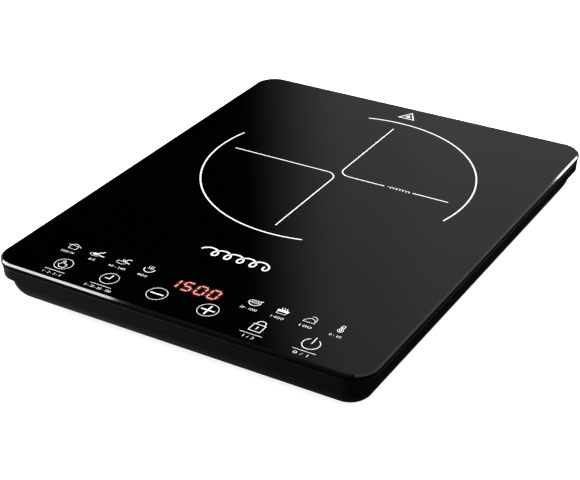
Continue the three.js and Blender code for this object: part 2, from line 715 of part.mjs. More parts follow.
function fanFrame() {
  const body = prism(
    roundedOutline(FAN_SIZE / 2, FAN_SIZE / 2, FAN_CORNER, 3),
    FAN_BOTTOM,
    FAN_TOP,
    [circle(FAN_BORE, 40)],
  );
  const plate = rod(0, 0, FAN_HUB_RADIUS, FAN_PLATE_BOTTOM, FAN_TOP, 24);
  const struts = [0, 1, 2, 3].map((i) => {
    const strut = box(FAN_BORE / 2 + 0.5, 0, FAN_BORE + 1, FAN_STRUT_WIDTH, FAN_PLATE_BOTTOM, FAN_TOP);
    return strut.rotateZ((i + 0.5) * Math.PI / 2);
  });
  const bearingTube = rod(0, 0, TUBE_RADIUS, TUBE_BOTTOM, FAN_PLATE_BOTTOM + 0.5, 24);
  const tubeBore = rod(0, 0, TUBE_BORE, TUBE_BOTTOM - CUT, FAN_PLATE_BOTTOM, 24);
  const holes = [-fanScrewReach, fanScrewReach].map((place) => {
    return rod(place, place, SCREW_RADIUS + GAP, FAN_BOTTOM - CUT, FAN_TOP + CUT);
  });
  return carve(body, { add: [plate, ...struts, bearingTube], cut: [tubeBore, ...holes] });
}

// A cup with blades set at a pitch round it. The cup opens upward over the motor's windings.
function fanRotor() {
  const cup = rod(0, 0, FAN_HUB_RADIUS, CUP_BOTTOM, CUP_TOP, 28);
  const hollow = rod(0, 0, FAN_HUB_RADIUS - FAN_CUP_WALL, CUP_FLOOR, CUP_TOP + CUT, 28);
  const bladeRoot = FAN_HUB_RADIUS - 1;
  const reach = Math.sqrt(TIP_RADIUS ** 2 - (BLADE_CHORD / 2) ** 2);
  const blades = [];
  for (let i = 0; i < FAN_BLADES; i++) {
    const blade = new THREE.BoxGeometry(reach - bladeRoot, BLADE_CHORD, FAN_BLADE_THICKNESS)
      .rotateX(THREE.MathUtils.degToRad(FAN_BLADE_PITCH))
      .translate((reach + bladeRoot) / 2, 0, (CUP_BOTTOM + CUP_TOP) / 2)
      .rotateZ(i / FAN_BLADES * Math.PI * 2);
    blades.push(blade);
  }
  return carve(cup, { add: blades, cut: [hollow] });
}

function fanShaft() {
  return rod(0, 0, FAN_SHAFT_RADIUS, CUP_FLOOR + GAP, FAN_PLATE_BOTTOM - SHAFT_END_CLEARANCE, 24);
}

function fanStator() {
  const outer = FAN_HUB_RADIUS - FAN_CUP_WALL - STATOR_CLEARANCE;
  return ring(TUBE_RADIUS + GAP, outer, TUBE_BOTTOM, FAN_PLATE_BOTTOM - GAP, 24);
}

// ---------------------------------------------------------------- power board and what stands on it
const STAND = POWER_BOARD_TOP + GAP;
const CHIP_HEIGHT = 4.8;
const SINK_WIDTH = 58;
const SINK_DEPTH = 62;
const SINK_PLATE = 2.5;
const SINK_HEIGHT = 11;
const SINK_FINS = 10;
const SINK_FIN = 1.4;
const SINK_FROM_LEFT = 6;
const boardRight = POWER_BOARD_X + POWER_BOARD_WIDTH / 2;
const boardBack = POWER_BOARD_Y + POWER_BOARD_DEPTH / 2;
const boardFront = POWER_BOARD_Y - POWER_BOARD_DEPTH / 2;
const sinkX = POWER_BOARD_X - POWER_BOARD_WIDTH / 2 + SINK_FROM_LEFT + SINK_WIDTH / 2;

function powerBoard() {
  const board = box(
    POWER_BOARD_X,
    POWER_BOARD_Y,
    POWER_BOARD_WIDTH,
    POWER_BOARD_DEPTH,
    POWER_BOARD_BOTTOM,
    POWER_BOARD_TOP,
  );
  const holes = boardScrewPlaces.map(([x, y]) => {
    return rod(x, y, SCREW_RADIUS + GAP, POWER_BOARD_BOTTOM - CUT, POWER_BOARD_TOP + CUT, 10);
  });
  return carve(board, { cut: holes });
}

// An extrusion with upright fins on a plate that lies on the two power chips.
function heatsink() {
  const bottom = STAND + CHIP_HEIGHT + GAP;
  const left = -SINK_WIDTH / 2;
  const outline = [[left, 0], [-left, 0]];
  const pitch = (SINK_WIDTH - SINK_FIN) / (SINK_FINS - 1);
  for (let fin = SINK_FINS - 1; fin >= 0; fin--) {
    const start = left + fin * pitch;
    outline.push([start + SINK_FIN, fin === SINK_FINS - 1 ? SINK_HEIGHT : SINK_PLATE]);
    if (fin < SINK_FINS - 1) {
      outline.push([start + SINK_FIN, SINK_HEIGHT]);
    }
    outline.push([start, SINK_HEIGHT]);
    if (fin > 0) {
      outline.push([start, SINK_PLATE]);
    }
  }
  const points = outline.map(([x, z]) => new THREE.Vector2(x, z));
  return prism(points, -SINK_DEPTH / 2, SINK_DEPTH / 2)
    .rotateX(Math.PI / 2)
    .translate(sinkX, POWER_BOARD_Y, bottom);
}

function chip(sizeX, sizeY, offsetY) {
  return box(sinkX, POWER_BOARD_Y + offsetY, sizeX, sizeY, STAND, STAND + CHIP_HEIGHT);
}

// A film capacitor or other cased part, measured from the board's right and back edges.
function casedPart(fromRight, fromBack, sizeX, sizeY, height) {
  return box(boardRight - fromRight, boardBack - fromBack, sizeX, sizeY, STAND, STAND + height);
}

// A wound ring core whose section has its corners taken off.
const CHOKE_FROM_RIGHT = 24;
const CHOKE_FROM_MIDDLE = 17;
const CHOKE_EYE = 6;
const CHOKE_RADIUS = 13;
const CHOKE_HEIGHT = 10;
const CHOKE_CHAMFER = 1.5;

function filterChoke() {
  const top = STAND + CHOKE_HEIGHT;
  const core = turned([
    [CHOKE_EYE, STAND + CHOKE_CHAMFER],
    [CHOKE_EYE + CHOKE_CHAMFER, STAND],
    [CHOKE_RADIUS - CHOKE_CHAMFER, STAND],
    [CHOKE_RADIUS, STAND + CHOKE_CHAMFER],
    [CHOKE_RADIUS, top - CHOKE_CHAMFER],
    [CHOKE_RADIUS - CHOKE_CHAMFER, top],
    [CHOKE_EYE + CHOKE_CHAMFER, top],
    [CHOKE_EYE, top - CHOKE_CHAMFER],
    [CHOKE_EYE, STAND + CHOKE_CHAMFER],
  ], 20);
  return core.translate(boardRight - CHOKE_FROM_RIGHT, POWER_BOARD_Y - CHOKE_FROM_MIDDLE, 0);
}

const TRANSFORMER_PLACE = 14;
const CORE_WIDTH = 20;
const CORE_DEPTH = 12;
const CORE_HEIGHT = 15;
const BOBBIN_WIDTH = 14;
const BOBBIN_DEPTH = 18;
const BOBBIN_HEIGHT = 13;

function transformer() {
  const x = POWER_BOARD_X + TRANSFORMER_PLACE;
  const y = boardFront + TRANSFORMER_PLACE;
  const core = box(x, y, CORE_WIDTH, CORE_DEPTH, STAND + 1, STAND + CORE_HEIGHT);
  const bobbin = box(x, y, BOBBIN_WIDTH, BOBBIN_DEPTH, STAND, STAND + BOBBIN_HEIGHT);
  return carve(core, { add: [bobbin] });
}

const TERMINAL_FROM_RIGHT = 23;
const FUSE_FROM_RIGHT = 48;
const TERMINAL_FROM_BACK = 7;
const FUSE_RADIUS = 2.6;
const FUSE_LENGTH = 20;

function fuseLink() {
  return new THREE.CylinderGeometry(FUSE_RADIUS, FUSE_RADIUS, FUSE_LENGTH, 12)
    .rotateZ(Math.PI / 2)
    .translate(boardRight - FUSE_FROM_RIGHT, boardBack - TERMINAL_FROM_BACK, STAND + FUSE_RADIUS + 1);
}

const TERMINAL_WIDTH = 22;
const TERMINAL_DEPTH = 10;
const TERMINAL_HEIGHT = 11;
const TERMINAL_PITCH = 7;
const TERMINAL_WELL_RADIUS = 2.2;
const TERMINAL_WELL_FLOOR = 6;
const terminalX = boardRight - TERMINAL_FROM_RIGHT;
const terminalY = boardBack - TERMINAL_FROM_BACK;

function terminalBlock() {
  const top = STAND + TERMINAL_HEIGHT;
  const block = box(terminalX, terminalY, TERMINAL_WIDTH, TERMINAL_DEPTH, STAND, top);
  const wells = [-TERMINAL_PITCH, 0, TERMINAL_PITCH].map((place) => {
    return rod(terminalX + place, terminalY, TERMINAL_WELL_RADIUS, STAND + TERMINAL_WELL_FLOOR, top + CUT, 8);
  });
  return carve(block, { cut: wells });
}

// ---------------------------------------------------------------- control board, display and touch springs
function controlBoard() {
  return box(
    0,
    CONTROL_BOARD_Y,
    CONTROL_BOARD_WIDTH,
    CONTROL_BOARD_DEPTH,
    CONTROL_BOARD_BOTTOM,
    CONTROL_BOARD_TOP,
  );
}

function displayModule() {
  const bottom = CONTROL_BOARD_TOP + GAP;
  const y = DISPLAY_FROM_FRONT - DEPTH / 2;
  return box(0, y, DISPLAY_WIDTH, DISPLAY_DEPTH, bottom, bottom + KEY_REACH);
}

// A wire spring that lifts each key's touch pad against the underside of the glass.
const SPRING_WIRE_RADIUS = 0.5;
const SPRING_RADIUS = 4.2;
const SPRING_TURNS = 2.5;
const SPRING_STEPS_PER_TURN = 10;
const SPRING_END_GAP = 0.1;

function touchSpring() {
  const bottom = CONTROL_BOARD_TOP + GAP + SPRING_WIRE_RADIUS + SPRING_END_GAP;
  const rise = KEY_REACH - 2 * (SPRING_WIRE_RADIUS + SPRING_END_GAP);
  const steps = SPRING_TURNS * SPRING_STEPS_PER_TURN;
  const points = [];
  for (let i = 0; i <= steps; i++) {
    const angle = i / SPRING_STEPS_PER_TURN * Math.PI * 2;
    const x = SPRING_RADIUS * Math.cos(angle);
    const y = SPRING_RADIUS * Math.sin(angle);
    points.push([x, y, bottom + rise * i / steps]);
  }
  return tube(points, SPRING_WIRE_RADIUS, 5, steps);
}

const BUZZER_X = 38;
const BUZZER_FROM_BACK = 8;
const BUZZER_RADIUS = 5.5;
const BUZZER_HEIGHT = 4;
const controlBack = CONTROL_BOARD_Y + CONTROL_BOARD_DEPTH / 2;

function buzzer() {
  const bottom = CONTROL_BOARD_TOP + GAP;
  return rod(BUZZER_X, controlBack - BUZZER_FROM_BACK, BUZZER_RADIUS, bottom, bottom + BUZZER_HEIGHT, 16);
}

// ---------------------------------------------------------------- wiring that stays inside
// A flat cable that drops from the control board's back edge to the power board's front edge.
const RIBBON_THICKNESS = 0.8;
const RIBBON_WIDTH = 14;
const RIBBON_OVERLAP = 6;

function ribbonCable() {
  const start = controlBack - RIBBON_OVERLAP;
  const end = boardFront + RIBBON_OVERLAP - 1;
  const high = CONTROL_BOARD_BOTTOM - GAP - RIBBON_THICKNESS;
  const low = STAND + RIBBON_THICKNESS;
  const bend = (start + end) / 2;
  const side = [
    [start, high + RIBBON_THICKNESS],
    [start, high],
    [bend - RIBBON_THICKNESS, high],
    [bend - RIBBON_THICKNESS, low],
    [end, low],
    [end, low + RIBBON_THICKNESS],
    [bend, low + RIBBON_THICKNESS],
    [bend, high + RIBBON_THICKNESS],
  ].map(([y, z]) => new THREE.Vector2(y, z));
  return prism(side, -RIBBON_WIDTH / 2, RIBBON_WIDTH / 2)
    .rotateX(Math.PI / 2)
    .rotateZ(Math.PI / 2)
    .translate(POWER_BOARD_X + RIBBON_OFFSET, 0, 0);
}

const MAINS_LEAD_RADIUS = 2.6;
const COIL_LEAD_RADIUS = 1.8;

function mainsLead() {
  const run = WIDTH / 2 - FLAT_INSET - 8;
  return tube([
    [GLAND_X, CLAMP_Y - 9, GLAND_Z - 2],
    [GLAND_X + 10, CLAMP_Y - 18, GLAND_Z - 4],
    [run, CLAMP_Y - 40, FLOOR + 4],
    [run, COIL_Y, FLOOR + 4],
    [run, BAY_BACK + 30, FLOOR + 6],
    [terminalX + 4, terminalY + 16, STAND + 7],
    [terminalX, terminalY + TERMINAL_DEPTH / 2 + 1.4, STAND + 5],
  ], MAINS_LEAD_RADIUS, 8, 44);
}

function coilLead() {
  const startY = COIL_Y - COIL_RADIUS + 8;
  return tube([
    [16, startY, FORMER_BOTTOM - COIL_LEAD_RADIUS - 0.8],
    [17, BAY_BACK + 1, FORMER_BOTTOM - 3],
    [sinkX + SINK_WIDTH / 2 + 7, BAY_BACK - 5, STAND + 8],
    [sinkX + SINK_WIDTH / 2 + 7, BAY_BACK - 10, STAND + 2.4],
  ], COIL_LEAD_RADIUS, 8, 20);
}

// ---------------------------------------------------------------- assembly
piece('glass_plate', 'blackGlass', glassPlate());
piece('glass_seal', 'silicone', glassSeal());
piece('upper_housing', 'blackPlastic', upperHousing());
piece('base_cover', 'blackPlastic', baseCover());
piece('cord_gland', 'rubber', cordGland());
piece('cord_clamp', 'greyPlastic', cordClamp());

for (const [place, x, y] of footPlaces) {
  piece(`foot_${place}`, 'rubber', foot()).position.set(x, y, 0);
}

const HOUSING_SCREW_END = 2;
const housingHead = COUNTERBORE_TOP - GAP - SCREW_HEAD_HEIGHT;
for (const [place, x, y] of screwPlaces) {
  const screw = risingScrew(housingHead, UPPER_BOTTOM - HOUSING_SCREW_END);
  piece(`housing_screw_${place}`, 'steel', screw).position.set(x, y, 0);
}

const coil = new THREE.Group();
coil.position.set(0, COIL_Y, 0);
cooktop.add(coil);
piece('coil_former', 'greyPlastic', coilFormer(), coil);
const winding = ring(COIL_EYE_RADIUS, COIL_RADIUS, FORMER_TOP + GAP, WINDING_TOP, 40);
piece('litz_winding', 'copper', winding, coil);
const micaBottom = WINDING_TOP + GAP;
const micaEye = SENSOR_BUSH_RADIUS + 4;
const mica = ring(micaEye, FORMER_RADIUS - 2, micaBottom, micaBottom + MICA_THICKNESS, 36);
piece('mica_sheet', 'mica', mica, coil);
piece('sensor_bush', 'silicone', sensorBush(), coil);
piece('pan_sensor', 'ceramic', panSensor(), coil);
for (let i = 0; i < SPOKE_COUNT; i++) {
  piece(`ferrite_bar_${i + 1}`, 'ferrite', ferriteBar(), coil).rotation.z = i / SPOKE_COUNT * Math.PI * 2;
}
lugPlaces.forEach(([x, y], i) => {
  const length = FORMER_THICKNESS + 9;
  piece(`coil_screw_${i + 1}`, 'steel', fallingScrew(FORMER_TOP + GAP, length)).position.set(x, y, 0);
});

const fan = new THREE.Group();
fan.position.set(FAN_X, FAN_Y, 0);
cooktop.add(fan);
piece('fan_frame', 'blackPlastic', fanFrame(), fan);
piece('fan_rotor', 'greyPlastic', fanRotor(), fan);
piece('fan_shaft', 'steel', fanShaft(), fan);
piece('fan_bearing', 'bronze', ring(BEARING_BORE, BEARING_RADIUS, TUBE_BOTTOM, FAN_PLATE_BOTTOM - GAP, 24), fan);
piece('fan_stator', 'copper', fanStator(), fan);
fanScrewPlaces.forEach(([x, y], i) => {
  piece(`fan_screw_${i + 1}`, 'steel', fallingScrew(FAN_TOP + GAP, FAN_THICKNESS)).position.set(x, y, 0);
});

piece('power_board', 'greenBoard', powerBoard());
piece('power_transistor', 'ferrite', chip(16, 20, -16));
piece('bridge_rectifier', 'ferrite', chip(22, 18, 16));
piece('heatsink', 'aluminium', heatsink());
piece('resonant_capacitor', 'capacitorYellow', casedPart(52, 28, 16, 30, 17));
piece('filter_capacitor', 'capacitorYellow', casedPart(14, 27, 14, 26, 16));
piece('smoothing_capacitor', 'capacitorGrey', casedPart(33, 27, 16, 26, 17));
piece('filter_choke', 'copper', filterChoke());
piece('auxiliary_transformer', 'bronze', transformer());
piece('fuse', 'ceramic', fuseLink());
piece('terminal_block', 'greyPlastic', terminalBlock());
boardScrewPlaces.forEach(([x, y], i) => {
  piece(`board_screw_${i + 1}`, 'steel', fallingScrew(STAND, BOARD_STANDOFF + 1)).position.set(x, y, 0);
});

piece('control_board', 'greenBoard', controlBoard());
piece('display_module', 'displayRed', displayModule());
KEY_PLACES.forEach((x, i) => {
  piece(`touch_spring_${i + 1}`, 'steel', touchSpring()).position.set(x, KEY_FROM_FRONT - DEPTH / 2, 0);
});
piece('buzzer', 'blackPlastic', buzzer());
piece('ribbon_cable', 'wireWhite', ribbonCable());
piece('mains_lead', 'wireWhite', mainsLead());
piece('coil_lead', 'wireWhite', coilLead());

export default cooktop;
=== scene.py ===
"""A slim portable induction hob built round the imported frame: its finished surfaces, printed marks, display and
studio."""

import json
import math

import bpy
import numpy as np
from bpy.props import FloatProperty, FloatVectorProperty, IntProperty, PointerProperty, StringProperty
from mathutils import Matrix, Vector


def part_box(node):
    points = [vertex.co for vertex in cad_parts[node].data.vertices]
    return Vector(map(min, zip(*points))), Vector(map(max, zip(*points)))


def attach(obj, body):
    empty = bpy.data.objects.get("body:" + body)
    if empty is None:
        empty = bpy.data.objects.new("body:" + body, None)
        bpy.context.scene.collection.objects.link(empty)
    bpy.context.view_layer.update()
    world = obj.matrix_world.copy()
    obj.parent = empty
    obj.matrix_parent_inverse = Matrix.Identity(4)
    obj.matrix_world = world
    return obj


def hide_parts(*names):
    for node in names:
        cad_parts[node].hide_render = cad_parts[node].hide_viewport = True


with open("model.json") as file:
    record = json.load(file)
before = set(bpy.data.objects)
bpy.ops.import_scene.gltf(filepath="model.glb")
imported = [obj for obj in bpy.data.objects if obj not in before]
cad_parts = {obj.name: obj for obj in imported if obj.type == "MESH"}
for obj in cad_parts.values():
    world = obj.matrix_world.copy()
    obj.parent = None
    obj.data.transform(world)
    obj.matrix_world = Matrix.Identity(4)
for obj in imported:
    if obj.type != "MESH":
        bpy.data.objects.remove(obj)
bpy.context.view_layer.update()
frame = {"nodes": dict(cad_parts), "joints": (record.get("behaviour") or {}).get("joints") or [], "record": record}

bl_info = {
    "name": "Induction hob",
    "version": (1, 0, 0),
    "blender": (4, 5, 0),
    "location": "View3D > Sidebar > Hob",
    "description": "Builds the visible surfaces of a slim portable induction hob",
    "category": "Object",
}

MM = 0.001
TURN = 2 * math.pi
HOUSING = "housing"
IMPELLER = "fan_impeller"
GAP = 0.3 * MM
LIP_SHOULDER = 0.5 * MM


def span(node):
    """The lowest and highest corners of a CAD node, as two arrays in metres."""
    low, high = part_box(node)
    return np.array(low), np.array(high)


def middle_of(node):
    low, high = span(node)
    return (low + high) / 2


GLASS_LOW, GLASS_HIGH = span("glass_plate")
UPPER_HIGH = span("upper_housing")[1]
BASE_LOW, BASE_HIGH = span("base_cover")
WINDING_LOW, WINDING_HIGH = span("litz_winding")
COIL_Y = (WINDING_LOW[1] + WINDING_HIGH[1]) / 2
TOP = GLASS_HIGH[2]
BACK = GLASS_HIGH[1]
UPPER_BOTTOM = UPPER_HIGH[2] - 8.2 * MM
RIM = UPPER_BOTTOM - 2.6 * MM
RIM_INSET = BACK - BASE_HIGH[1]
PLACES = ("front_left", "front_right", "back_left", "back_right")


# ---------------------------------------------------------------- sizes and colours a user would change
def length_property(name, description, millimetres):
    return FloatProperty(name=name, description=description, default=millimetres * MM, unit="LENGTH")


def colour_property(name, description, *channels):
    return FloatVectorProperty(name=name, description=description, default=channels, subtype="COLOR")


def angle_property(name, description, degrees):
    return FloatProperty(name=name, description=description, default=math.radians(degrees), subtype="ANGLE")


class HobSizes(bpy.types.PropertyGroup):
    """Lengths of the visible shapes."""

    corner: length_property("Corner radius", "Plan radius of the glass plate's corners", 16.5)
    bevel: length_property("Edge bevel", "Height and width of the ground bevel", 1.15)
    wall: length_property("Wall", "Thickness of the plastic shells", 2.2)
    zone_radius: length_property("Zone radius", "Radius of the printed ring", 100.0)
    zone_line: length_property("Zone line", "Width of the printed ring's line", 1.1)
    ink: length_property("Ink height", "How far the print stands above the glass", 0.03)
    key_radius: length_property("Key radius", "Radius of a printed key circle", 6.35)
    digit_height: length_property("Digit height", "Height of the display's digits", 11.0)
    number_height: length_property("Number height", "Height of the printed numbers", 2.5)
    winding_turns: IntProperty(name="Winding turns", description="Turns of the induction coil", default=19)


class HobColours(bpy.types.PropertyGroup):
    """Base colours of the visible finishes."""

    glass: colour_property("Glass", "Black of the glass plate", 0.0003, 0.0003, 0.00033)
    shell: colour_property("Shell", "Black of the plastic shells", 0.0018, 0.0018, 0.002)
    ink: colour_property("Ink", "White of the printed marks", 0.93, 0.93, 0.93)
    digit: colour_property("Digit", "Red of the lit digits", 1.0, 0.045, 0.012)
    floor: colour_property("Floor", "Pale studio floor", 0.86, 0.86, 0.86)


# ---------------------------------------------------------------- shader arithmetic and finishes
class Value:
    """A number socket used in arithmetic: each operator adds the Math node that it names."""

    def __init__(self, finish, socket):
        self.finish = finish
        self.socket = socket

    def maths(self, operation, first, second):
        node = self.finish.node("ShaderNodeMath", {"operation": operation}, {0: first, 1: second})
        return Value(self.finish, node.outputs[0])

    def __add__(self, other):
        return self.maths("ADD", self, other)

    def __sub__(self, other):
        return self.maths("SUBTRACT", self, other)

    def __mul__(self, other):
        return self.maths("MULTIPLY", self, other)

    def __rsub__(self, other):
        return self.maths("SUBTRACT", other, self)

    __radd__ = __add__
    __rmul__ = __mul__


def scaled(colour, factor):
    return tuple(min(1.0, channel * factor) for channel in colour)


class Nodes:
    """A node tree with a shader at its end, and patterns that read one set of coordinates."""

    def __init__(self, tree, shader, coordinates):
        self.tree = tree
        self.shader = tree.nodes[shader]
        self.place = self.node("ShaderNodeTexCoord").outputs[coordinates]

    def give(self, node, sockets):
        for key, value in sockets.items():
            socket = node.inputs[key]
            if isinstance(value, Value):
                self.tree.links.new(value.socket, socket)
            elif isinstance(value, bpy.types.NodeSocket):
                self.tree.links.new(value, socket)
            elif socket.type == "RGBA":
                socket.default_value = (*value, 1.0)
            else:
                socket.default_value = value

    def node(self, kind, settings=None, sockets=None):
        """Adds a node: its settings first, then the values or links of its sockets."""
        made = self.tree.nodes.new(kind)
        for key, value in (settings or {}).items():
            setattr(made, key, value)
        self.give(made, sockets or {})
        return made

    def noise(self, size, detail=2.0, stretch=(1.0, 1.0, 1.0)):
        """Soft random variation from 0 to 1 whose blotches are about the given size across."""
        place = self.node("ShaderNodeMapping", {}, {"Vector": self.place, "Scale": stretch})
        sockets = {"Vector": place.outputs[0], "Scale": 1 / size, "Detail": detail}
        return Value(self, self.node("ShaderNodeTexNoise", {}, sockets).outputs[0])

    def axis(self, letter):
        """One coordinate of the surface point, in metres."""
        parts = self.node("ShaderNodeSeparateXYZ", {}, {0: self.place})
        return Value(self, parts.outputs[letter])

    def ramp(self, value, low, high):
        """0 below low and 1 above high, with a smooth step between."""
        settings = {"interpolation_type": "SMOOTHSTEP"}
        made = self.node("ShaderNodeMapRange", settings, {"Value": value, "From Min": low, "From Max": high})
        return Value(self, made.outputs[0])

    def dot(self, direction):
        """How far the point or direction reaches along a direction."""
        made = self.node("ShaderNodeVectorMath", {"operation": "DOT_PRODUCT"}, {0: self.place, 1: direction})
        return Value(self, made.outputs["Value"])

    def colours(self, share, first, second):
        """The first colour mixed with a share of the second."""
        made = self.node("ShaderNodeMix", {"data_type": "RGBA"}, {0: share, 6: first, 7: second})
        return made.outputs[2]

    def shades(self, share, colour, low, high):
        """One colour, from its low to its high factor as the share goes from 0 to 1."""
        return self.colours(share, scaled(colour, low), scaled(colour, high))

    def relief(self, height, depth, strength):
        """The normal of a surface raised by the height, 0 to 1, times the depth."""
        made = self.node("ShaderNodeBump", {}, {"Height": height, "Distance": depth, "Strength": strength})
        return made.outputs[0]


class Finish(Nodes):
    """One material: a Principled shader, its sockets set plainly or fed by patterns on Object coordinates."""

    def __init__(self, name, sockets):
        self.material = bpy.data.materials.new(name)
        self.material.use_nodes = True
        super().__init__(self.material.node_tree, "Principled BSDF", "Object")
        self.give(self.shader, sockets)

    def drive(self, sockets):
        """Feeds the sockets that vary, and gives the finished material."""
        self.give(self.shader, sockets)
        return self.material


def glass_finish(colours):
    """Polished black glass-ceramic with faint smears, and hair scratches where pans stand."""
    finish = Finish("black_glass", {"IOR": 1.5})
    smear = finish.noise(45 * MM, 3.0, (1.0, 0.4, 1.0))
    hair = finish.noise(0.9 * MM, 2.0, (1.0, 0.06, 1.0))
    scratch = finish.ramp(hair, 0.66, 0.78)
    tint = finish.shades(smear, colours.glass, 0.8, 1.3)
    return finish.drive({"Base Color": tint, "Roughness": 0.035 + 0.03 * smear + 0.025 * scratch})


def edge_finish(colours):
    """The plate's sawn edge: the same black glass, dull, with upright grinding marks."""
    finish = Finish("glass_edge", {"Specular IOR Level": 0.08})
    marks = finish.noise(0.5 * MM, 2.0, (1.0, 1.0, 0.1))
    tint = finish.shades(marks, colours.glass, 0.8, 1.3)
    return finish.drive({"Base Color": tint, "Roughness": 0.5 + 0.1 * marks})


def shell_finish(colours):
    """Black moulded plastic with a fine spark-eroded texture, rubbed smoother where hands carry it."""
    finish = Finish("housing_plastic", {"Specular IOR Level": 0.17})
    grain = finish.noise(0.35 * MM)
    cloud = finish.noise(30 * MM)
    rubbed = finish.ramp(finish.noise(14 * MM, 3.0), 0.55, 0.75)
    tint = finish.shades(cloud, colours.shell, 0.85, 1.25)
    rough = 0.40 + 0.12 * grain - 0.07 * rubbed
    surface = finish.relief(grain, 0.05 * MM, 0.5)
    return finish.drive({"Base Color": tint, "Roughness": rough, "Normal": surface})


def ink_finish(colours):
    """Fired white ceramic print, a little uneven in density."""
    finish = Finish("printed_ink", {})
    speck = finish.noise(0.8 * MM)
    tint = finish.shades(speck, colours.ink, 0.97, 1.0)
    return finish.drive({"Base Color": tint, "Roughness": 0.32 + 0.12 * speck})


def light_finish(name, colour, strength):
    """A lit display segment, or the painted glow round one: even light, a little dimmer in blotches where the
    diffuser is thick.
    """
    finish = Finish(name, {"Emission Strength": strength})
    blotch = finish.noise(2.2 * MM, 1.0)
    glow = finish.shades(blotch, colour, 0.8, 1.0)
    rough = 0.3 + 0.1 * blotch
    return finish.drive({"Base Color": scaled(colour, 0.4), "Emission Color": glow, "Roughness": rough})


def rubber_finish(name, colour):
    """Dull rubber with a powdery bloom and a slight orange-peel surface."""
    finish = Finish(name, {"Specular IOR Level": 0.3})
    bloom = finish.noise(6 * MM, 3.0)
    peel = finish.noise(0.6 * MM)
    tint = finish.shades(bloom, colour, 1.0, 1.7)
    surface = finish.relief(peel, 0.06 * MM, 0.6)
    return finish.drive({"Base Color": tint, "Roughness": 0.72 + 0.2 * bloom, "Normal": surface})


def metal_finish(name, colour, rough, stretch):
    """Bare metal with drawing or brushing marks along one axis and dull oxide patches."""
    finish = Finish(name, {"Metallic": 1.0})
    marks = finish.noise(0.5 * MM, 2.0, stretch)
    oxide = finish.ramp(finish.noise(7 * MM, 3.0), 0.5, 0.8)
    tint = finish.shades(oxide, colour, 1.0, 0.7)
    surface = finish.relief(marks, 0.02 * MM, 0.5)
    rough = rough + 0.15 * marks + 0.1 * oxide
    return finish.drive({"Base Color": tint, "Roughness": rough, "Normal": surface})


def moulded_finish(name, colour, rough):
    """Plain moulded or cast matter with a fine grain and slight colour clouds."""
    finish = Finish(name, {})
    cloud = finish.noise(9 * MM, 3.0)
    grain = finish.noise(0.4 * MM)
    tint = finish.shades(cloud, colour, 0.85, 1.15)
    surface = finish.relief(grain, 0.04 * MM, 0.5)
    return finish.drive({"Base Color": tint, "Roughness": rough + 0.12 * grain, "Normal": surface})


def board_finish(name):
    """Green solder mask over copper tracks that show as slightly paler, raised lines."""
    finish = Finish(name, {})
    bands = {"wave_type": "BANDS", "bands_direction": "X"}
    sockets = {"Vector": finish.place, "Scale": 160.0, "Distortion": 6.0, "Detail": 1.0}
    lanes = finish.node("ShaderNodeTexWave", bands, sockets)
    tracks = finish.ramp(Value(finish, lanes.outputs[1]), 0.45, 0.55)
    tint = finish.colours(tracks, (0.01, 0.07, 0.03), (0.03, 0.16, 0.07))
    surface = finish.relief(tracks, 0.04 * MM, 0.6)
    return finish.drive({"Base Color": tint, "Roughness": 0.35 + 0.1 * tracks, "Normal": surface})


ALONG = (1.0, 0.08, 1.0)
UPRIGHT = (1.0, 1.0, 0.08)
EVEN = (1.0, 1.0, 1.0)
COPPER = ((0.72, 0.3, 0.14), 0.3)
INNER = {
    "rubber": (rubber_finish, (0.014, 0.014, 0.014)),
    "seal_silicone": (rubber_finish, (0.2, 0.03, 0.02)),
    "inner_plastic": (moulded_finish, (0.05, 0.05, 0.055), 0.45),
    "steel": (metal_finish, (0.55, 0.56, 0.58), 0.28, UPRIGHT),
    "spring_steel": (metal_finish, (0.6, 0.6, 0.62), 0.22, ALONG),
    "bronze": (metal_finish, (0.42, 0.26, 0.12), 0.5, UPRIGHT),
    "copper": (metal_finish, *COPPER, ALONG),
    "ferrite": (moulded_finish, (0.03, 0.03, 0.034), 0.6),
    "mica": (moulded_finish, (0.6, 0.56, 0.42), 0.45),
    "ceramic": (moulded_finish, (0.75, 0.73, 0.68), 0.25),
    "circuit_board": (board_finish,),
    "chip_plastic": (moulded_finish, (0.02, 0.02, 0.02), 0.5),
    "aluminium": (metal_finish, (0.7, 0.71, 0.73), 0.35, ALONG),
    "capacitor_case": (moulded_finish, (0.6, 0.42, 0.05), 0.35),
    "transformer_core": (metal_finish, (0.3, 0.25, 0.17), 0.45, ALONG),
    "display": (moulded_finish, (0.05, 0.008, 0.006), 0.15),
    "wire_sleeve": (moulded_finish, (0.65, 0.63, 0.58), 0.5),
}


def inner_finish(slot):
    """A new finish for one of the record's slots."""
    make, *look = INNER[slot]
    return make(slot, *look)


# ---------------------------------------------------------------- surfaces
SHARP_DEGREES = 35.0


class Shape:
    """Points and faces gathered from several closed solids into one mesh."""

    def __init__(self):
        self.points = []
        self.faces = []
        self.count = 0

    def add(self, points, faces):
        points = np.asarray(points, float).reshape(-1, 3)
        self.faces += [[corner + self.count for corner in face] for face in faces]
        self.points.append(points)
        self.count += len(points)

    def object(self, name, material):
        mesh = bpy.data.meshes.new(name)
        mesh.from_pydata(np.concatenate(self.points).tolist(), [], self.faces)
        mesh.validate()
        mesh.materials.append(material)
        made = bpy.data.objects.new(name, mesh)
        bpy.context.scene.collection.objects.link(made)
        shade(made)
        return made


def shade(piece):
    """Smooth shading, with edges that turn by more than the sharp angle kept sharp."""
    piece.data.shade_smooth()
    piece.data.set_sharp_from_angle(angle=math.radians(SHARP_DEGREES))


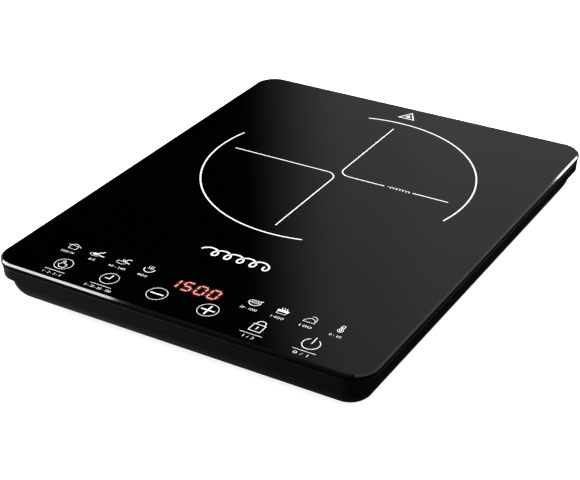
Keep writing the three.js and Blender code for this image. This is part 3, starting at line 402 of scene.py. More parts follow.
def grid_faces(rows, columns, wrap_rows=False):
    """Quads of a grid whose columns close round: row i, column j joins row i+1, column j+1."""
    last = rows if wrap_rows else rows - 1
    row, column = np.meshgrid(np.arange(last), np.arange(columns), indexing="ij")
    beside = (column + 1) % columns
    here, above = row * columns, (row + 1) % rows * columns
    return np.stack([here + column, here + beside, above + beside, above + column], -1).reshape(-1, 4).tolist()


def lofted(rings):
    """Faces of a solid through rings of equal count, listed from the bottom up, with a flat cap at each end."""
    rows, columns = rings.shape[:2]
    bottom = list(range(columns))[::-1]
    top = list(range((rows - 1) * columns, rows * columns))
    return grid_faces(rows, columns) + [bottom, top]


def solid(name, rings, material, closed=False):
    """An object lofted through rings: capped at both ends, or its last ring joined to its first where closed."""
    shape = Shape()
    shape.add(rings, grid_faces(*rings.shape[:2], wrap_rows=True) if closed else lofted(rings))
    return shape.object(name, material)


def rounded_outline(half_x, half_y, radius, steps=20):
    """A rectangle with round corners: each corner's centre plus the radius turned through its quarter."""
    angle = (np.arange(4)[:, None] + np.linspace(0, 1, steps + 1)[None, :]) * TURN / 4
    side_x = np.array([1, -1, -1, 1])[:, None] * (half_x - radius)
    side_y = np.array([1, 1, -1, -1])[:, None] * (half_y - radius)
    return np.stack([side_x + radius * np.cos(angle), side_y + radius * np.sin(angle)], -1).reshape(-1, 2)


def hob_rings(profile, corner, share=0.4):
    """Rings of the plan outline, one for each (inset, height) of a profile: a corner's radius loses a share of
    the inset."""
    half_x, half_y = GLASS_HIGH[:2]
    rings = []
    for inset, height in profile:
        outline = rounded_outline(half_x - inset, half_y - inset, corner - share * inset)
        rings.append(level_ring(outline, height))
    return np.array(rings)


def quarter(start, end, steps, bulge_first):
    """Points of a quarter ellipse from start to end; bulge_first says which coordinate moves first."""
    angle = np.linspace(0, TURN / 4, steps + 1)
    early, late = np.sin(angle), 1 - np.cos(angle)
    shares = np.stack((early, late) if bulge_first else (late, early), -1)
    start, end = np.array(start), np.array(end)
    return list(start + (end - start) * shares)


def turned(profile, steps, centre=(0.0, 0.0)):
    """A profile of (radius, height) pairs, from the bottom up, carried round the Z axis at a centre."""
    angle = np.arange(steps) / steps * TURN
    radius, height = np.array(profile, float).T
    x = centre[0] + radius[:, None] * np.cos(angle)
    y = centre[1] + radius[:, None] * np.sin(angle)
    z = np.broadcast_to(height[:, None], x.shape)
    return np.stack([x, y, z], -1)


def stadiums(centres, lengths, width, along_y=False, steps=6):
    """Outlines of slots with round ends: half circles of the width set apart by each slot's length."""
    half = np.linspace(-TURN / 4, TURN / 4, steps + 1)
    angle = np.concatenate([half, half + TURN / 2])
    side = np.repeat([1, -1], steps + 1)
    reach = (np.asarray(lengths)[:, None] - width) / 2
    u = side * reach + width / 2 * np.cos(angle)
    v = np.broadcast_to(width / 2 * np.sin(angle), u.shape)
    local = np.stack([-v, u] if along_y else [u, v], -1)
    return local + np.asarray(centres)[:, None, :]


def level_ring(outline, level):
    """A flat outline as points at one height."""
    return np.c_[outline, np.full(len(outline), level)]


def upright_prisms(outlines, low, high):
    """Closed upright solids over outlines, as a Shape."""
    shape = Shape()
    for outline in outlines:
        rings = np.array([level_ring(outline, low), level_ring(outline, high)])
        shape.add(rings, lofted(rings))
    return shape


def circle(radius, steps):
    angle = np.arange(steps) / steps * TURN
    return np.stack([radius * np.cos(angle), radius * np.sin(angle)], -1)


def carve(piece, name, shape):
    """Cuts a shape's solids out of a piece, and keeps the result as the piece's mesh."""
    cutter = shape.object(name, piece.data.materials[0])
    step = piece.modifiers.new(name, "BOOLEAN")
    step.object = cutter
    step.operation = "DIFFERENCE"
    step.solver = "EXACT"
    evaluated = piece.evaluated_get(bpy.context.evaluated_depsgraph_get())
    result = bpy.data.meshes.new_from_object(evaluated)
    piece.modifiers.clear()
    if len(result.polygons) <= len(piece.data.polygons):
        raise RuntimeError(f"{piece.name}: nothing was cut by {name}")
    piece.data = result
    bpy.data.objects.remove(cutter)


def keep(piece, body, slot, *nodes):
    """Rides a finished piece on its body and hides the CAD nodes it stands for; its slot is not used."""
    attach(piece, body)
    if nodes:
        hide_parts(*nodes)
    return piece


# ---------------------------------------------------------------- print on the glass
def line(*points):
    return np.array(points, float)


def joined(*paths):
    return np.concatenate(paths)


def arc(centre, radius, start, end, steps=24):
    """Part of an ellipse between two angles in degrees; radius is one number or a pair."""
    radius = np.broadcast_to(np.asarray(radius, float), 2)
    angle = np.radians(np.linspace(start, end, steps + 1))
    return np.stack([centre[0] + radius[0] * np.cos(angle), centre[1] + radius[1] * np.sin(angle)], -1)


INK_ROOT = 0.05 * MM
NUMERAL_SHARE = 0.7
NUMERAL_THINNING = -0.04


class Print:
    """Flat bands and patches of ink, laid out in millimetres from the place and in the scale last set."""

    def __init__(self, rise):
        self.shape = Shape()
        self.low = TOP - INK_ROOT
        self.high = TOP + rise
        self.place = (0.0, 0.0)
        self.scale = 1.0

    def at(self, place, scale=1.0):
        """Moves the centre of what is drawn next, and sets its scale."""
        self.place = place
        self.scale = scale

    def band(self, path, width, closed=False):
        """A band of even width: each point moves half the width to both sides, mitred at bends."""
        path = np.asarray(path, float) * self.scale
        width = width * self.scale
        ahead = np.roll(path, -1, 0) - path
        if not closed:
            ahead[-1] = ahead[-2]
        ahead /= np.linalg.norm(ahead, axis=1)[:, None]
        behind = np.roll(ahead, 1, 0)
        if not closed:
            behind[0] = ahead[0]
        turn_ahead = np.stack([-ahead[:, 1], ahead[:, 0]], -1)
        turn_behind = np.stack([-behind[:, 1], behind[:, 0]], -1)
        mitre = (turn_ahead + turn_behind) / (1 + (turn_ahead * turn_behind).sum(1))[:, None]
        left = (path + mitre * width / 2 + self.place) * MM
        right = (path - mitre * width / 2 + self.place) * MM
        corners = ((left, self.low), (right, self.low), (right, self.high), (left, self.high))
        rings = np.stack([level_ring(side, level) for side, level in corners], 1)
        rows = len(path)
        faces = grid_faces(rows, 4, wrap_rows=closed)
        if not closed:
            faces += [[3, 2, 1, 0], [4 * rows - 4, 4 * rows - 3, 4 * rows - 2, 4 * rows - 1]]
        self.shape.add(rings, [face[::-1] for face in faces])

    def patch(self, outline):
        """A filled shape, its outline given anticlockwise."""
        flat = (np.asarray(outline, float) * self.scale + self.place) * MM
        rings = np.array([level_ring(flat, self.low), level_ring(flat, self.high)])
        self.shape.add(rings, lofted(rings))

    def number(self, words, height, width):
        """Numerals from Blender's own font, made a mesh and stretched to a width."""
        curve = bpy.data.curves.new("number", "FONT")
        curve.body = words
        curve.align_x = "CENTER"
        curve.align_y = "CENTER"
        curve.size = height / NUMERAL_SHARE
        curve.extrude = 0.5
        curve.offset = NUMERAL_THINNING
        curve.resolution_u = 3
        maker = bpy.data.objects.new("number", curve)
        bpy.context.scene.collection.objects.link(maker)
        mesh = bpy.data.meshes.new_from_object(maker.evaluated_get(bpy.context.evaluated_depsgraph_get()))
        points = np.empty(len(mesh.vertices) * 3)
        mesh.vertices.foreach_get("co", points)
        points = points.reshape(-1, 3)
        points[:, 0] *= width / np.ptp(points[:, 0])
        flat = (points[:, :2] + self.place) * MM
        level = np.where(points[:, 2] > 0, self.high, self.low)
        self.shape.add(np.c_[flat, level], [list(polygon.vertices) for polygon in mesh.polygons])
        bpy.data.objects.remove(maker)


LINE = 0.34


def pot(ink):
    """A stock pot under a peaked lid whose brim overhangs both sides."""
    ink.band(line((-3.3, 0.4), (-3.3, -3.9), (3.3, -3.9), (3.3, 0.4)), LINE)
    ink.band(line((-5.7, 0.5), (-3.3, 1.0), (-0.9, 2.8), (0.4, 2.8), (3.3, 1.0), (5.7, -0.2)), LINE)
    ink.band(line((-3.0, 0.8), (3.0, 0.3)), LINE)


def frying_pan(ink):
    """A shallow pan from above with its handle to the right, and a turner lifting food out."""
    ink.band(arc((-2.3, -2.2), (3.9, 1.8), 140, 410), LINE)
    ink.patch(arc((-2.3, -1.3), (2.2, 1.2), 0, 345, 16))
    ink.band(line((1.2, -1.9), (5.9, -2.4)), 0.8)
    ink.band(line((-1.5, -0.8), (0.8, 1.4), (2.0, 1.9), (2.6, 3.9)), 0.75)


def deep_pan(ink):
    """A deep pan of food with a raised basket handle and a plain one."""
    ink.band(joined(line((-5.0, -0.6)), arc((-1.2, -1.4), (3.9, 2.5), 190, 350), line((2.4, -0.6))), LINE)
    ink.band(line((-5.0, -0.5), (2.4, -0.5)), LINE)
    ink.band(joined(line((1.0, -0.2)), arc((3.4, 1.8), (2.2, 1.8), 180, 60, 8)), 0.6)
    ink.band(line((2.2, -0.7), (5.5, -1.3)), 0.7)
    for x in (-1.2, 0.0, 1.2):
        ink.band(line((x - 0.7, 2.2), (x + 0.4, 0.2)), 0.45)


def steam(ink, apart, low, high):
    """Three wisps, each one full sine swing to either side of an upright line."""
    swing, steps = 0.45, 12
    along = np.linspace(0, 1, steps + 1)
    for x in (-apart, 0.0, apart):
        ink.band(np.stack([x + swing * np.sin(along * TURN), low + (high - low) * along], -1), 0.4)


def soup_bowl(ink):
    """A round bowl with three wisps of steam."""
    ink.band(joined(line((-4.2, 0.9)), arc((0, 0.2), 4.1, 180, 360), line((4.2, 0.9))), 0.65)
    steam(ink, 1.7, 0.4, 4.3)


def porridge_bowl(ink):
    """A full bowl, its rim seen as an ellipse, with a spoon over it."""
    ink.band(arc((0, 0.7), (4.5, 1.7), 0, 360)[:-1], LINE, closed=True)
    ink.band(arc((0, 0.5), (4.5, 4.6), 180, 360), 0.55)
    for x in (-2.3, -0.8, 0.8, 2.3):
        ink.band(line((x - 0.4, 1.4), (x + 0.4, 0.0)), 0.4)
    ink.band(line((3.0, 1.6), (4.9, 3.0)), 0.65)


def steamer(ink):
    """A wide pan with a solid rim over which three wisps of steam rise."""
    ink.patch(line((-4.4, 0.9), (-4.0, -1.4), (4.0, -1.4), (4.4, 0.9)))
    ink.band(line((-3.6, -1.4), (-3.3, -3.8), (3.3, -3.8), (3.6, -1.4)), LINE)
    steam(ink, 1.9, 0.9, 3.6)


def kettle(ink):
    """A domed kettle with an arched handle from its lid to its base."""
    body = [(-4.3, -3.5), (-3.9, -1.9), (-2.9, -0.3), (-0.2, 1.9), (2.6, 0.4), (3.9, -1.7), (4.3, -3.5)]
    ink.band(line(*body), LINE, closed=True)
    ink.band(joined(arc((0.9, 0.7), (3.1, 3.3), 120, 10, 12), line((4.5, -1.9))), LINE)


def thermometer(ink):
    """A thermometer with a filled bulb and a column."""
    ink.band(joined(arc((0, 3.1), 1.15, 0, 180, 8), arc((0, -2.0), 1.9, 128, 412, 20)), 0.42, closed=True)
    ink.patch(arc((0, -2.0), 0.8, 0, 340, 14))
    ink.band(line((0, -2.0), (0, 2.2)), 0.55)


def pointing_hand(ink):
    """A pressing finger over a closed fist."""
    ink.band(joined(line((-2.2, -0.6)), arc((-1.2, 3.0), 0.75, 180, 0, 6), line((-0.4, 0.4))), 0.45)
    knuckles = line((-0.4, 0.4), (1.3, 0.5), (2.9, -0.3), (3.1, -2.4))
    heel = line((2.0, -4.3), (-1.0, -4.3), (-3.5, -1.2), (-2.2, -0.6))
    ink.band(joined(knuckles, heel), 0.45)


def clock_hands(ink):
    ink.band(line((0.2, 4.2), (0.2, -0.2), (-3.4, -0.2)), 0.75)


def padlock(ink):
    """A closed padlock with a keyhole."""
    ink.band(line((-4.05, 1.7), (-4.05, -5.95), (4.05, -5.95), (4.05, 1.7)), 0.5, closed=True)
    ink.band(joined(line((-2.9, 1.7)), arc((0, 2.9), 2.9, 180, 0), line((2.9, 1.7))), 0.5)
    ink.patch(arc((0, -1.5), 0.7, 0, 340, 12))
    ink.band(line((0, -1.7), (0, -3.7)), 0.6)


def power_sign(ink):
    """A ring open at the top with an upright bar in the gap."""
    ink.band(arc((0, -0.9), 5.7, 120, 420, 40), 0.5)
    ink.band(line((0, 6.8), (0, -0.5)), 0.55)


def minus(ink):
    ink.band(line((-4.9, 0), (4.9, 0)), SIGN_LINE)


def plus(ink):
    """A cross in three bars that don't overlap."""
    minus(ink)
    for low, high in ((-5.1, -0.65), (0.65, 5.1)):
        ink.band(line((0, low), (0, high)), SIGN_LINE)


SIGN_LINE = 1.05
KEY_LINE = 0.36
ICON_SCALE = 0.93
PROGRAM_Y = -134.0
PROGRAM_NUMBER_Y = -142.35
PROGRAM_NUMBER_SHARE = 0.9
KEY_Y = -156.3
PROGRAMS = (
    (-101.4, pot, "2000 W", 10.6),
    (-81.3, frying_pan, "60", 4.6),
    (-61.0, deep_pan, "60 - 240", 12.6),
    (-40.7, soup_bowl, "800", 7.2),
    (39.9, porridge_bowl, "20 - 1000", 12.0),
    (60.3, steamer, "1400", 9.0),
    (80.1, kettle, "100", 8.4),
    (101.4, thermometer, "0 - 65", 8.2),
)
SIGNS_X = (-93.4, -56.3, -19.2, 19.2, 56.3, 93.4)
SIGNS = (pointing_hand, clock_hands, minus, plus, padlock, power_sign)
RING_SIZES = (1.0, 1.0, 1.095, 1.095, 0.0, 0.0)
UNDERLINE_Y = KEY_Y - 9.4
CAPTION_Y = KEY_Y - 13.1
UNDERLINED = (
    (SIGNS_X[0], "1 - 2 - 3 - 4", 14.3),
    (SIGNS_X[1], "0 - 30 - 60 - 180", 20.3),
    (SIGNS_X[4], "1 / 3", 7.4),
    (SIGNS_X[5], "0 / 1", 10.0),
)


class Step:
    """An operator that builds its pieces in the scene, and raises where it can't."""

    def execute(self, context):
        self.build(context.scene)
        return {"FINISHED"}


class HOB_OT_glass(Step, bpy.types.Operator):
    """Build the black glass plate with its polished bevel"""

    bl_idname = "hob.glass"
    bl_label = "Glass plate"

    def build(self, scene):
        sizes, colours = scene.hob_sizes, scene.hob_colours
        low, bevel, ease = GLASS_LOW[2], sizes.bevel, 0.5 * MM
        sawn = TOP - bevel
        for name, profile, finish, nodes in (
            ("glass_top", [(0.0, sawn), (bevel, TOP)], glass_finish(colours), ["glass_plate"]),
            ("glass_edge", [(ease, low), (0.0, low + ease), (0.0, sawn)], edge_finish(colours), []),
        ):
            rings = hob_rings(profile, sizes.corner, 1.0)
            keep(solid(name, rings, finish), HOUSING, "black_glass", *nodes)


WALL_LEAN = 0.5 * MM
LEDGE_WIDTH = 13.5 * MM
LEDGE_THICKNESS = 2 * MM
VENT_COUNT = 8
VENT_PITCH = 16 * MM
VENT_SIZE = (12 * MM, 2.6 * MM)
DISH_RUN = 12.6 * MM
LIP_THICKNESS = 1.4 * MM
WELL_RADIUS = 3.8 * MM
WELL_DEPTH = 3.2 * MM
SLOT_PITCH = 6.4 * MM
SLOT_WIDTH = 3 * MM
FAN_REACH = 36.5 * MM
FAN_SPINE = 2.4 * MM
EXHAUST_COUNT = 12
EXHAUST_LENGTH = 36 * MM
EXHAUST_Y = BACK - 52 * MM


class HOB_OT_shells(Step, bpy.types.Operator):
    """Build the upper housing and the dish-shaped base cover, with their vents and screw wells"""

    bl_idname = "hob.shells"
    bl_label = "Housing shells"

    def build(self, scene):
        sizes = scene.hob_sizes
        material = shell_finish(scene.hob_colours)
        self.upper(sizes, material)
        self.base(sizes, material)

    def upper(self, sizes, material):
        """An upright wall with a rounded top edge, a ledge inside under the glass and a shelf turned in at its
        foot; the profile closes on itself."""
        bottom, top = UPPER_BOTTOM, UPPER_HIGH[2]
        top_inset = BACK - UPPER_HIGH[1]
        foot_inset = top_inset + WALL_LEAN
        mouth = RIM_INSET + LIP_SHOULDER - GAP
        wall = sizes.wall
        soft = 0.25 * MM
        ledge = top_inset + LEDGE_WIDTH
        ledge_top = span("glass_seal")[0][2] - GAP
        ledge_foot = ledge_top - LEDGE_THICKNESS
        profile = [
            (mouth, bottom),
            (foot_inset + soft, bottom),
            (foot_inset, bottom + soft),
            (top_inset, top - soft),
            (top_inset + soft, top),
            (top_inset + wall, top),
            (top_inset + wall, ledge_top),
            (ledge, ledge_top),
            (ledge, ledge_foot),
            (foot_inset + wall, ledge_foot),
            (foot_inset + wall, bottom + wall),
            (mouth, bottom + wall),
        ]
        piece = solid("upper_wall", hob_rings(profile, sizes.corner), material, closed=True)
        length, width = VENT_SIZE
        x = (np.arange(VENT_COUNT) - (VENT_COUNT - 1) / 2) * VENT_PITCH - VENT_PITCH
        z = np.full(VENT_COUNT, bottom + wall + GAP + width / 2)
        vents = Shape()
        for outline in stadiums(np.c_[x, z], np.full(VENT_COUNT, length), width):
            rings = np.array([level_ring(outline, y)[:, [0, 2, 1]] for y in (BACK + 3 * MM, BACK - 7 * MM)])
            vents.add(rings, lofted(rings))
        carve(piece, "vents", vents)
        shade(piece)
        keep(piece, HOUSING, "housing_plastic", "upper_housing")

    def base(self, sizes, material):
        """A dish: flat underneath, a quarter-ellipse rise to the rim and a lip inside the groove, then the same
        inside."""
        wall = sizes.wall
        bottom, lip = BASE_LOW[2], BASE_HIGH[2]
        flat_inset = RIM_INSET + DISH_RUN
        lip_inset = RIM_INSET + LIP_SHOULDER
        inner = lip_inset + LIP_THICKNESS
        soft = 0.3 * MM
        profile = quarter((flat_inset, bottom), (RIM_INSET, RIM - soft), 14, bulge_first=True)
        profile += [(RIM_INSET + soft, RIM), (lip_inset, RIM), (lip_inset, lip), (inner, lip)]
        profile += quarter((inner, RIM), (flat_inset, bottom + wall), 10, bulge_first=False)
        piece = solid("base_dish", hob_rings(profile, sizes.corner), material)
        low, high = bottom - 2 * MM, bottom + wall + 2 * MM
        carve(piece, "slots", upright_prisms([*self.fan_slots(), *self.exhaust_slots()], low, high))
        wells = [circle(WELL_RADIUS, 24) + middle_of(f"housing_screw_{place}")[:2] for place in PLACES]
        carve(piece, "wells", upright_prisms(wells, low, bottom + WELL_DEPTH))
        carve(piece, "panel", self.label_panel(bottom))
        carve(piece, "passage", self.cord_passage())
        shade(piece)
        keep(piece, HOUSING, "housing_plastic", "base_cover")

    def fan_slots(self):
        """Rows of slots inside a circle under the fan, parted by a spine."""
        x, y = middle_of("fan_frame")[:2]
        rows = np.arange(-5, 6) * SLOT_PITCH
        length = np.sqrt(FAN_REACH**2 - rows**2) - FAN_SPINE
        slots = []
        for side in (-1, 1):
            centres = np.c_[x + side * (FAN_SPINE + length / 2), y + rows]
            slots += list(stadiums(centres, length, SLOT_WIDTH))
        return slots

    def exhaust_slots(self):
        """A row of long slots behind the coil."""
        x = (np.arange(EXHAUST_COUNT) - (EXHAUST_COUNT - 1) / 2) * SLOT_PITCH
        centres = np.c_[x, np.full(EXHAUST_COUNT, EXHAUST_Y)]
        return stadiums(centres, np.full(EXHAUST_COUNT, EXHAUST_LENGTH), SLOT_WIDTH, along_y=True)

    def label_panel(self, bottom):
        """A shallow blank recess in the underside, where a data plate would be stuck."""
        centre = (30 * MM, -45 * MM)
        outline = rounded_outline(42 * MM, 24 * MM, 4 * MM, 6) + centre
        return upright_prisms([outline], bottom - 2 * MM, bottom + 0.5 * MM)

    def cord_passage(self):
        """The way through the dish's back for the cord gland."""
        low, high = span("cord_gland")
        margin = 1.2 * MM
        centre = ((low[0] + high[0]) / 2, high[1] - 6 * MM)
        outline = rounded_outline(7.8 * MM, 12 * MM, 0.5 * MM, 2) + centre
        return upright_prisms([outline], low[2] + margin, high[2] - margin)


ZONE_SHIFT = (-0.6, 0.4)
GAP_START = 37.9
GAP_END = 60.3
WINDING_PLACE = (-0.35, -94.3)
BACK_MARK_PLACE = (-0.7, 160.6)


class HOB_OT_zone(Step, bpy.types.Operator):
    """Print the cooking zone's ring and lines, the winding sign and the back mark"""

    bl_idname = "hob.zone"
    bl_label = "Zone print"

    def build(self, scene):
        sizes = scene.hob_sizes
        ink = Print(sizes.ink)
        centre = (ZONE_SHIFT[0], COIL_Y / MM + ZONE_SHIFT[1])
        radius, width = sizes.zone_radius / MM, sizes.zone_line / MM
        ink.at(centre)
        for start in (-15, 165):
            ink.band(arc((0, 0), radius, start, start + 120, 96), width)
        self.angle_lines(ink)
        ink.at(WINDING_PLACE)
        self.winding_sign(ink, 54.0, 9.7, 5, 1.3)
        ink.at((centre[0] + (GAP_START + GAP_END) / 2 + 0.1, centre[1]))
        self.winding_sign(ink, 18.5, 2.3, 7, 0.35)
        ink.at(BACK_MARK_PLACE)
        self.back_mark(ink)
        material = ink_finish(scene.hob_colours)
        keep(ink.shape.object("zone_print", material), HOUSING, None)

    def angle_lines(self, ink):
        """Two right angles back to back, each with a round corner near the middle of the zone."""
        reach, bend, width = 88.2, 9.0, 0.85
        corner = arc((bend, bend), bend, 180, 270, 12)
        ink.band(joined(line((0, reach)), corner, line((GAP_START, 0))), width)
        ink.band(line((GAP_END, 0), (reach, 0)), width)
        ink.band(-joined(line((0, reach)), corner, line((reach, 0))), width)

    def winding_sign(self, ink, width, height, loops, stroke):
        """A row of overlapping loops like a drawn winding: an advancing circle, wider than its step."""
        along = np.linspace(0, 1, loops * 28 + 1)
        swing = (height - stroke) / 2
        angle = along * loops * TURN
        x = (width - 2 * swing) * along - 0.9 * swing * np.cos(angle)
        x = (x - x.min()) / np.ptp(x) * (width - stroke) - (width - stroke) / 2
        y = swing * np.sin(angle)
        ink.band(np.stack([x, y], -1), stroke)

    def back_mark(self, ink):
        """A plain open triangle with a smaller filled one inside."""
        outline = line((-6.3, -5.0), (6.3, -5.0), (0.0, 5.6))
        ink.band(outline, 0.85, closed=True)
        ink.patch(outline * 0.38 + (0, -0.8))


class HOB_OT_keys(Step, bpy.types.Operator):
    """Print the key circles, their signs, the program pictograms and plain numbers"""

    bl_idname = "hob.keys"
    bl_label = "Key print"

    def build(self, scene):
        sizes = scene.hob_sizes
        ink = Print(sizes.ink)
        height = sizes.number_height / MM
        for x, draw, words, width in PROGRAMS:
            ink.at((x, PROGRAM_Y), ICON_SCALE)
            draw(ink)
            ink.at((x, PROGRAM_NUMBER_Y))
            ink.number(words, height * PROGRAM_NUMBER_SHARE, width)
        ring = arc((0, 0), sizes.key_radius / MM, 0, 360, 64)[:-1]
        for x, draw, size in zip(SIGNS_X, SIGNS, RING_SIZES):
            ink.at((x, KEY_Y))
            if size:
                ink.band(ring * size, KEY_LINE, closed=True)
            draw(ink)
        for x, words, width in UNDERLINED:
            ink.at((x, UNDERLINE_Y))
            ink.band(line((-8, 0), (8, 0)), KEY_LINE)
            ink.at((x, CAPTION_Y))
            ink.number(words, height, width)
        material = ink_finish(scene.hob_colours)
        keep(ink.shape.object("key_print", material), HOUSING, None)


DIGIT_START = (-17.2, -139.4)
DIGIT_STEP = 10.0
SEGMENT_GAP = 0.6
SEGMENTS = {"1": "bc", "5": "afgcd", "0": "abcdef"}


class HOB_OT_display(Step, bpy.types.Operator):
    """Light the four seven-segment digits under the glass"""

    bl_idname = "hob.display"
    bl_label = "Display"

    digits: StringProperty(name="Digits", description="What the display reads", default="1500")

    def build(self, scene):
        sizes, colours = scene.hob_sizes, scene.hob_colours
        height = sizes.digit_height / MM
        for name, thick, rise, colour, strength in (
            # The first row is a painted glow: a wide, dim emitting band round each segment, standing in for light
            # spreading through the glass around the digits.
            ("display_painted_glow", 3.4, 0.010, (0.05, 0.003, 0.0015), 1.0),
            ("display_digits", 1.25, 0.016, colours.digit, 0.42),
            ("display_cores", 0.62, 0.022, (1.0, 0.62, 0.52), 0.6),
        ):
            ink = Print(rise * MM)
            for place, digit in enumerate(self.digits):
                ink.at((DIGIT_START[0] + DIGIT_STEP * place, DIGIT_START[1]))
                self.digit(ink, digit, height, thick)
            material = light_finish(name, colour, strength)
            keep(ink.shape.object(name, material), HOUSING, "display")

    def digit(self, ink, digit, height, thick):
        """Bars between the corners of an upright figure eight, shortened so that they don't touch."""
        x, y = 3.0, height / 2 - 0.65
        ends = {
            "a": ((-x, y), (x, y)),
            "b": ((x, y), (x, 0)),
            "c": ((x, 0), (x, -y)),
            "d": ((-x, -y), (x, -y)),
            "e": ((-x, 0), (-x, -y)),
            "f": ((-x, y), (-x, 0)),
            "g": ((-x, 0), (x, 0)),
        }
        for letter in SEGMENTS[digit]:
            start, end = np.array(ends[letter], float)
            along = (end - start) / np.linalg.norm(end - start)
            ink.band([start + along * SEGMENT_GAP, end - along * SEGMENT_GAP], thick)


class HOB_OT_feet(Step, bpy.types.Operator):
    """Build the rubber feet and the cross-head housing screws"""

    bl_idname = "hob.feet"
    bl_label = "Feet and screws"

    def build(self, scene):
        rubber, steel = inner_finish("rubber"), inner_finish("steel")
        for place in PLACES:
            self.foot(place, rubber)
            self.screw(place, steel)

    def foot(self, place, material):
        """A turned pad with a rounded edge, two grip grooves in its sole and the spigot that holds it."""
        node = f"foot_{place}"
        low, high = span(node)
        radius = (high[0] - low[0]) / 2
        seat = BASE_LOW[2] - GAP
        groove, round_edge, spigot = 0.5 * MM, 1.2 * MM, 4 * MM
        profile = []
        for start in (3.0, 6.0):
            profile += [(start * MM, low[2]), ((start + 0.3) * MM, low[2] + groove)]
            profile += [((start + 1.0) * MM, low[2] + groove), ((start + 1.3) * MM, low[2])]
        profile += quarter((radius - round_edge, low[2]), (radius, low[2] + round_edge), 4, bulge_first=True)
        profile += [(radius, seat - 0.8 * MM), (radius - 0.4 * MM, seat), (spigot, seat), (spigot, high[2])]
        rings = turned(profile, 40, middle_of(node)[:2])
        keep(solid(f"rubber_{node}", rings, material), HOUSING, "rubber", node)

    def screw(self, place, material):
        """A domed head with a cross recess on a shank that rises into the upper housing."""
        node = f"housing_screw_{place}"
        low, high = span(node)
        head, shoulder = low[2], low[2] + 1.9 * MM
        rim, shank = 3.0 * MM, 1.5 * MM
        profile = [(1.2 * MM, head), (2.3 * MM, head + 0.35 * MM), (rim, head + 1.1 * MM), (rim, shoulder)]
        profile += [(shank, shoulder), (shank, high[2] - 1 * MM), (0.3 * MM, high[2])]
        centre = middle_of(node)[:2]
        piece = solid(f"cross_{node}", turned(profile, 28, centre), material)
        long, thin = 1.7 * MM, 0.35 * MM
        for half_x, half_y in ((long, thin), (thin, long)):
            arm = rounded_outline(half_x, half_y, 0.1 * MM, 2) + centre
            carve(piece, "arm", upright_prisms([arm], head - 1 * MM, head + 1 * MM))
        shade(piece)
        keep(piece, HOUSING, "steel", node)


class HOB_OT_gland(Step, bpy.types.Operator):
    """Build the mains cord gland in the rear wall"""

    bl_idname = "hob.gland"
    bl_label = "Cord gland"

    def build(self, scene):
        low, high = span("cord_gland")
        material = rubber_finish("gland_rubber", (0.012, 0.012, 0.012))
        piece = solid("rubber_gland", self.sleeve(low, high), material, closed=True)
        keep(piece, HOUSING, "rubber", "cord_gland")

    def sleeve(self, low, high):
        """A sleeve along Y: rounded rectangles outside, then the round bore inside, closed on itself."""
        outer_y = high[1] - 2 * MM
        inner_y = low[1] + 3 * MM
        soft = 0.5 * MM
        flange_x, flange_z = 9.5 * MM, 7 * MM
        x, z = (low[0] + high[0]) / 2, high[2] - flange_z
        neck_x, neck_z = 7.5 * MM, 5.5 * MM
        steps = 8
        sections = [
            (flange_x, neck_z, low[1]),
            (flange_x, neck_z, inner_y),
            (neck_x, neck_z, inner_y),
            (neck_x, neck_z, outer_y),
            (flange_x, flange_z, outer_y),
            (flange_x, flange_z, high[1] - soft),
            (flange_x - soft, flange_z - soft, high[1]),
        ]
        rings = []
        for half_x, half_z, y in sections:
            outline = rounded_outline(half_x, half_z, 2 * MM, steps)
            rings.append(np.c_[x + outline[:, 0], np.full(len(outline), y), z + outline[:, 1]])
        count = 4 * (steps + 1)
        corner = (np.arange(4)[:, None] + np.linspace(0.04, 0.96, steps + 1)[None, :]).reshape(-1) * TURN / 4
        bore, flare = 3.5 * MM, 0.9 * MM
        for radius, y in ((bore + flare, high[1]), (bore, high[1] - flare), (bore, low[1])):
            rings.append(np.c_[x + radius * np.cos(corner), np.full(count, y), z + radius * np.sin(corner)])
        return np.array(rings)[:, ::-1]


BLADES = 7
HUB_RADIUS = 17.5 * MM
HUB_WALL = 1.5 * MM
BLADE_ROOT = 16.8 * MM
BLADE_LENGTH = 18.0 * MM
BLADE_CAMBER = 1.2 * MM
BLADE_HALF_THICKNESS = 0.55 * MM


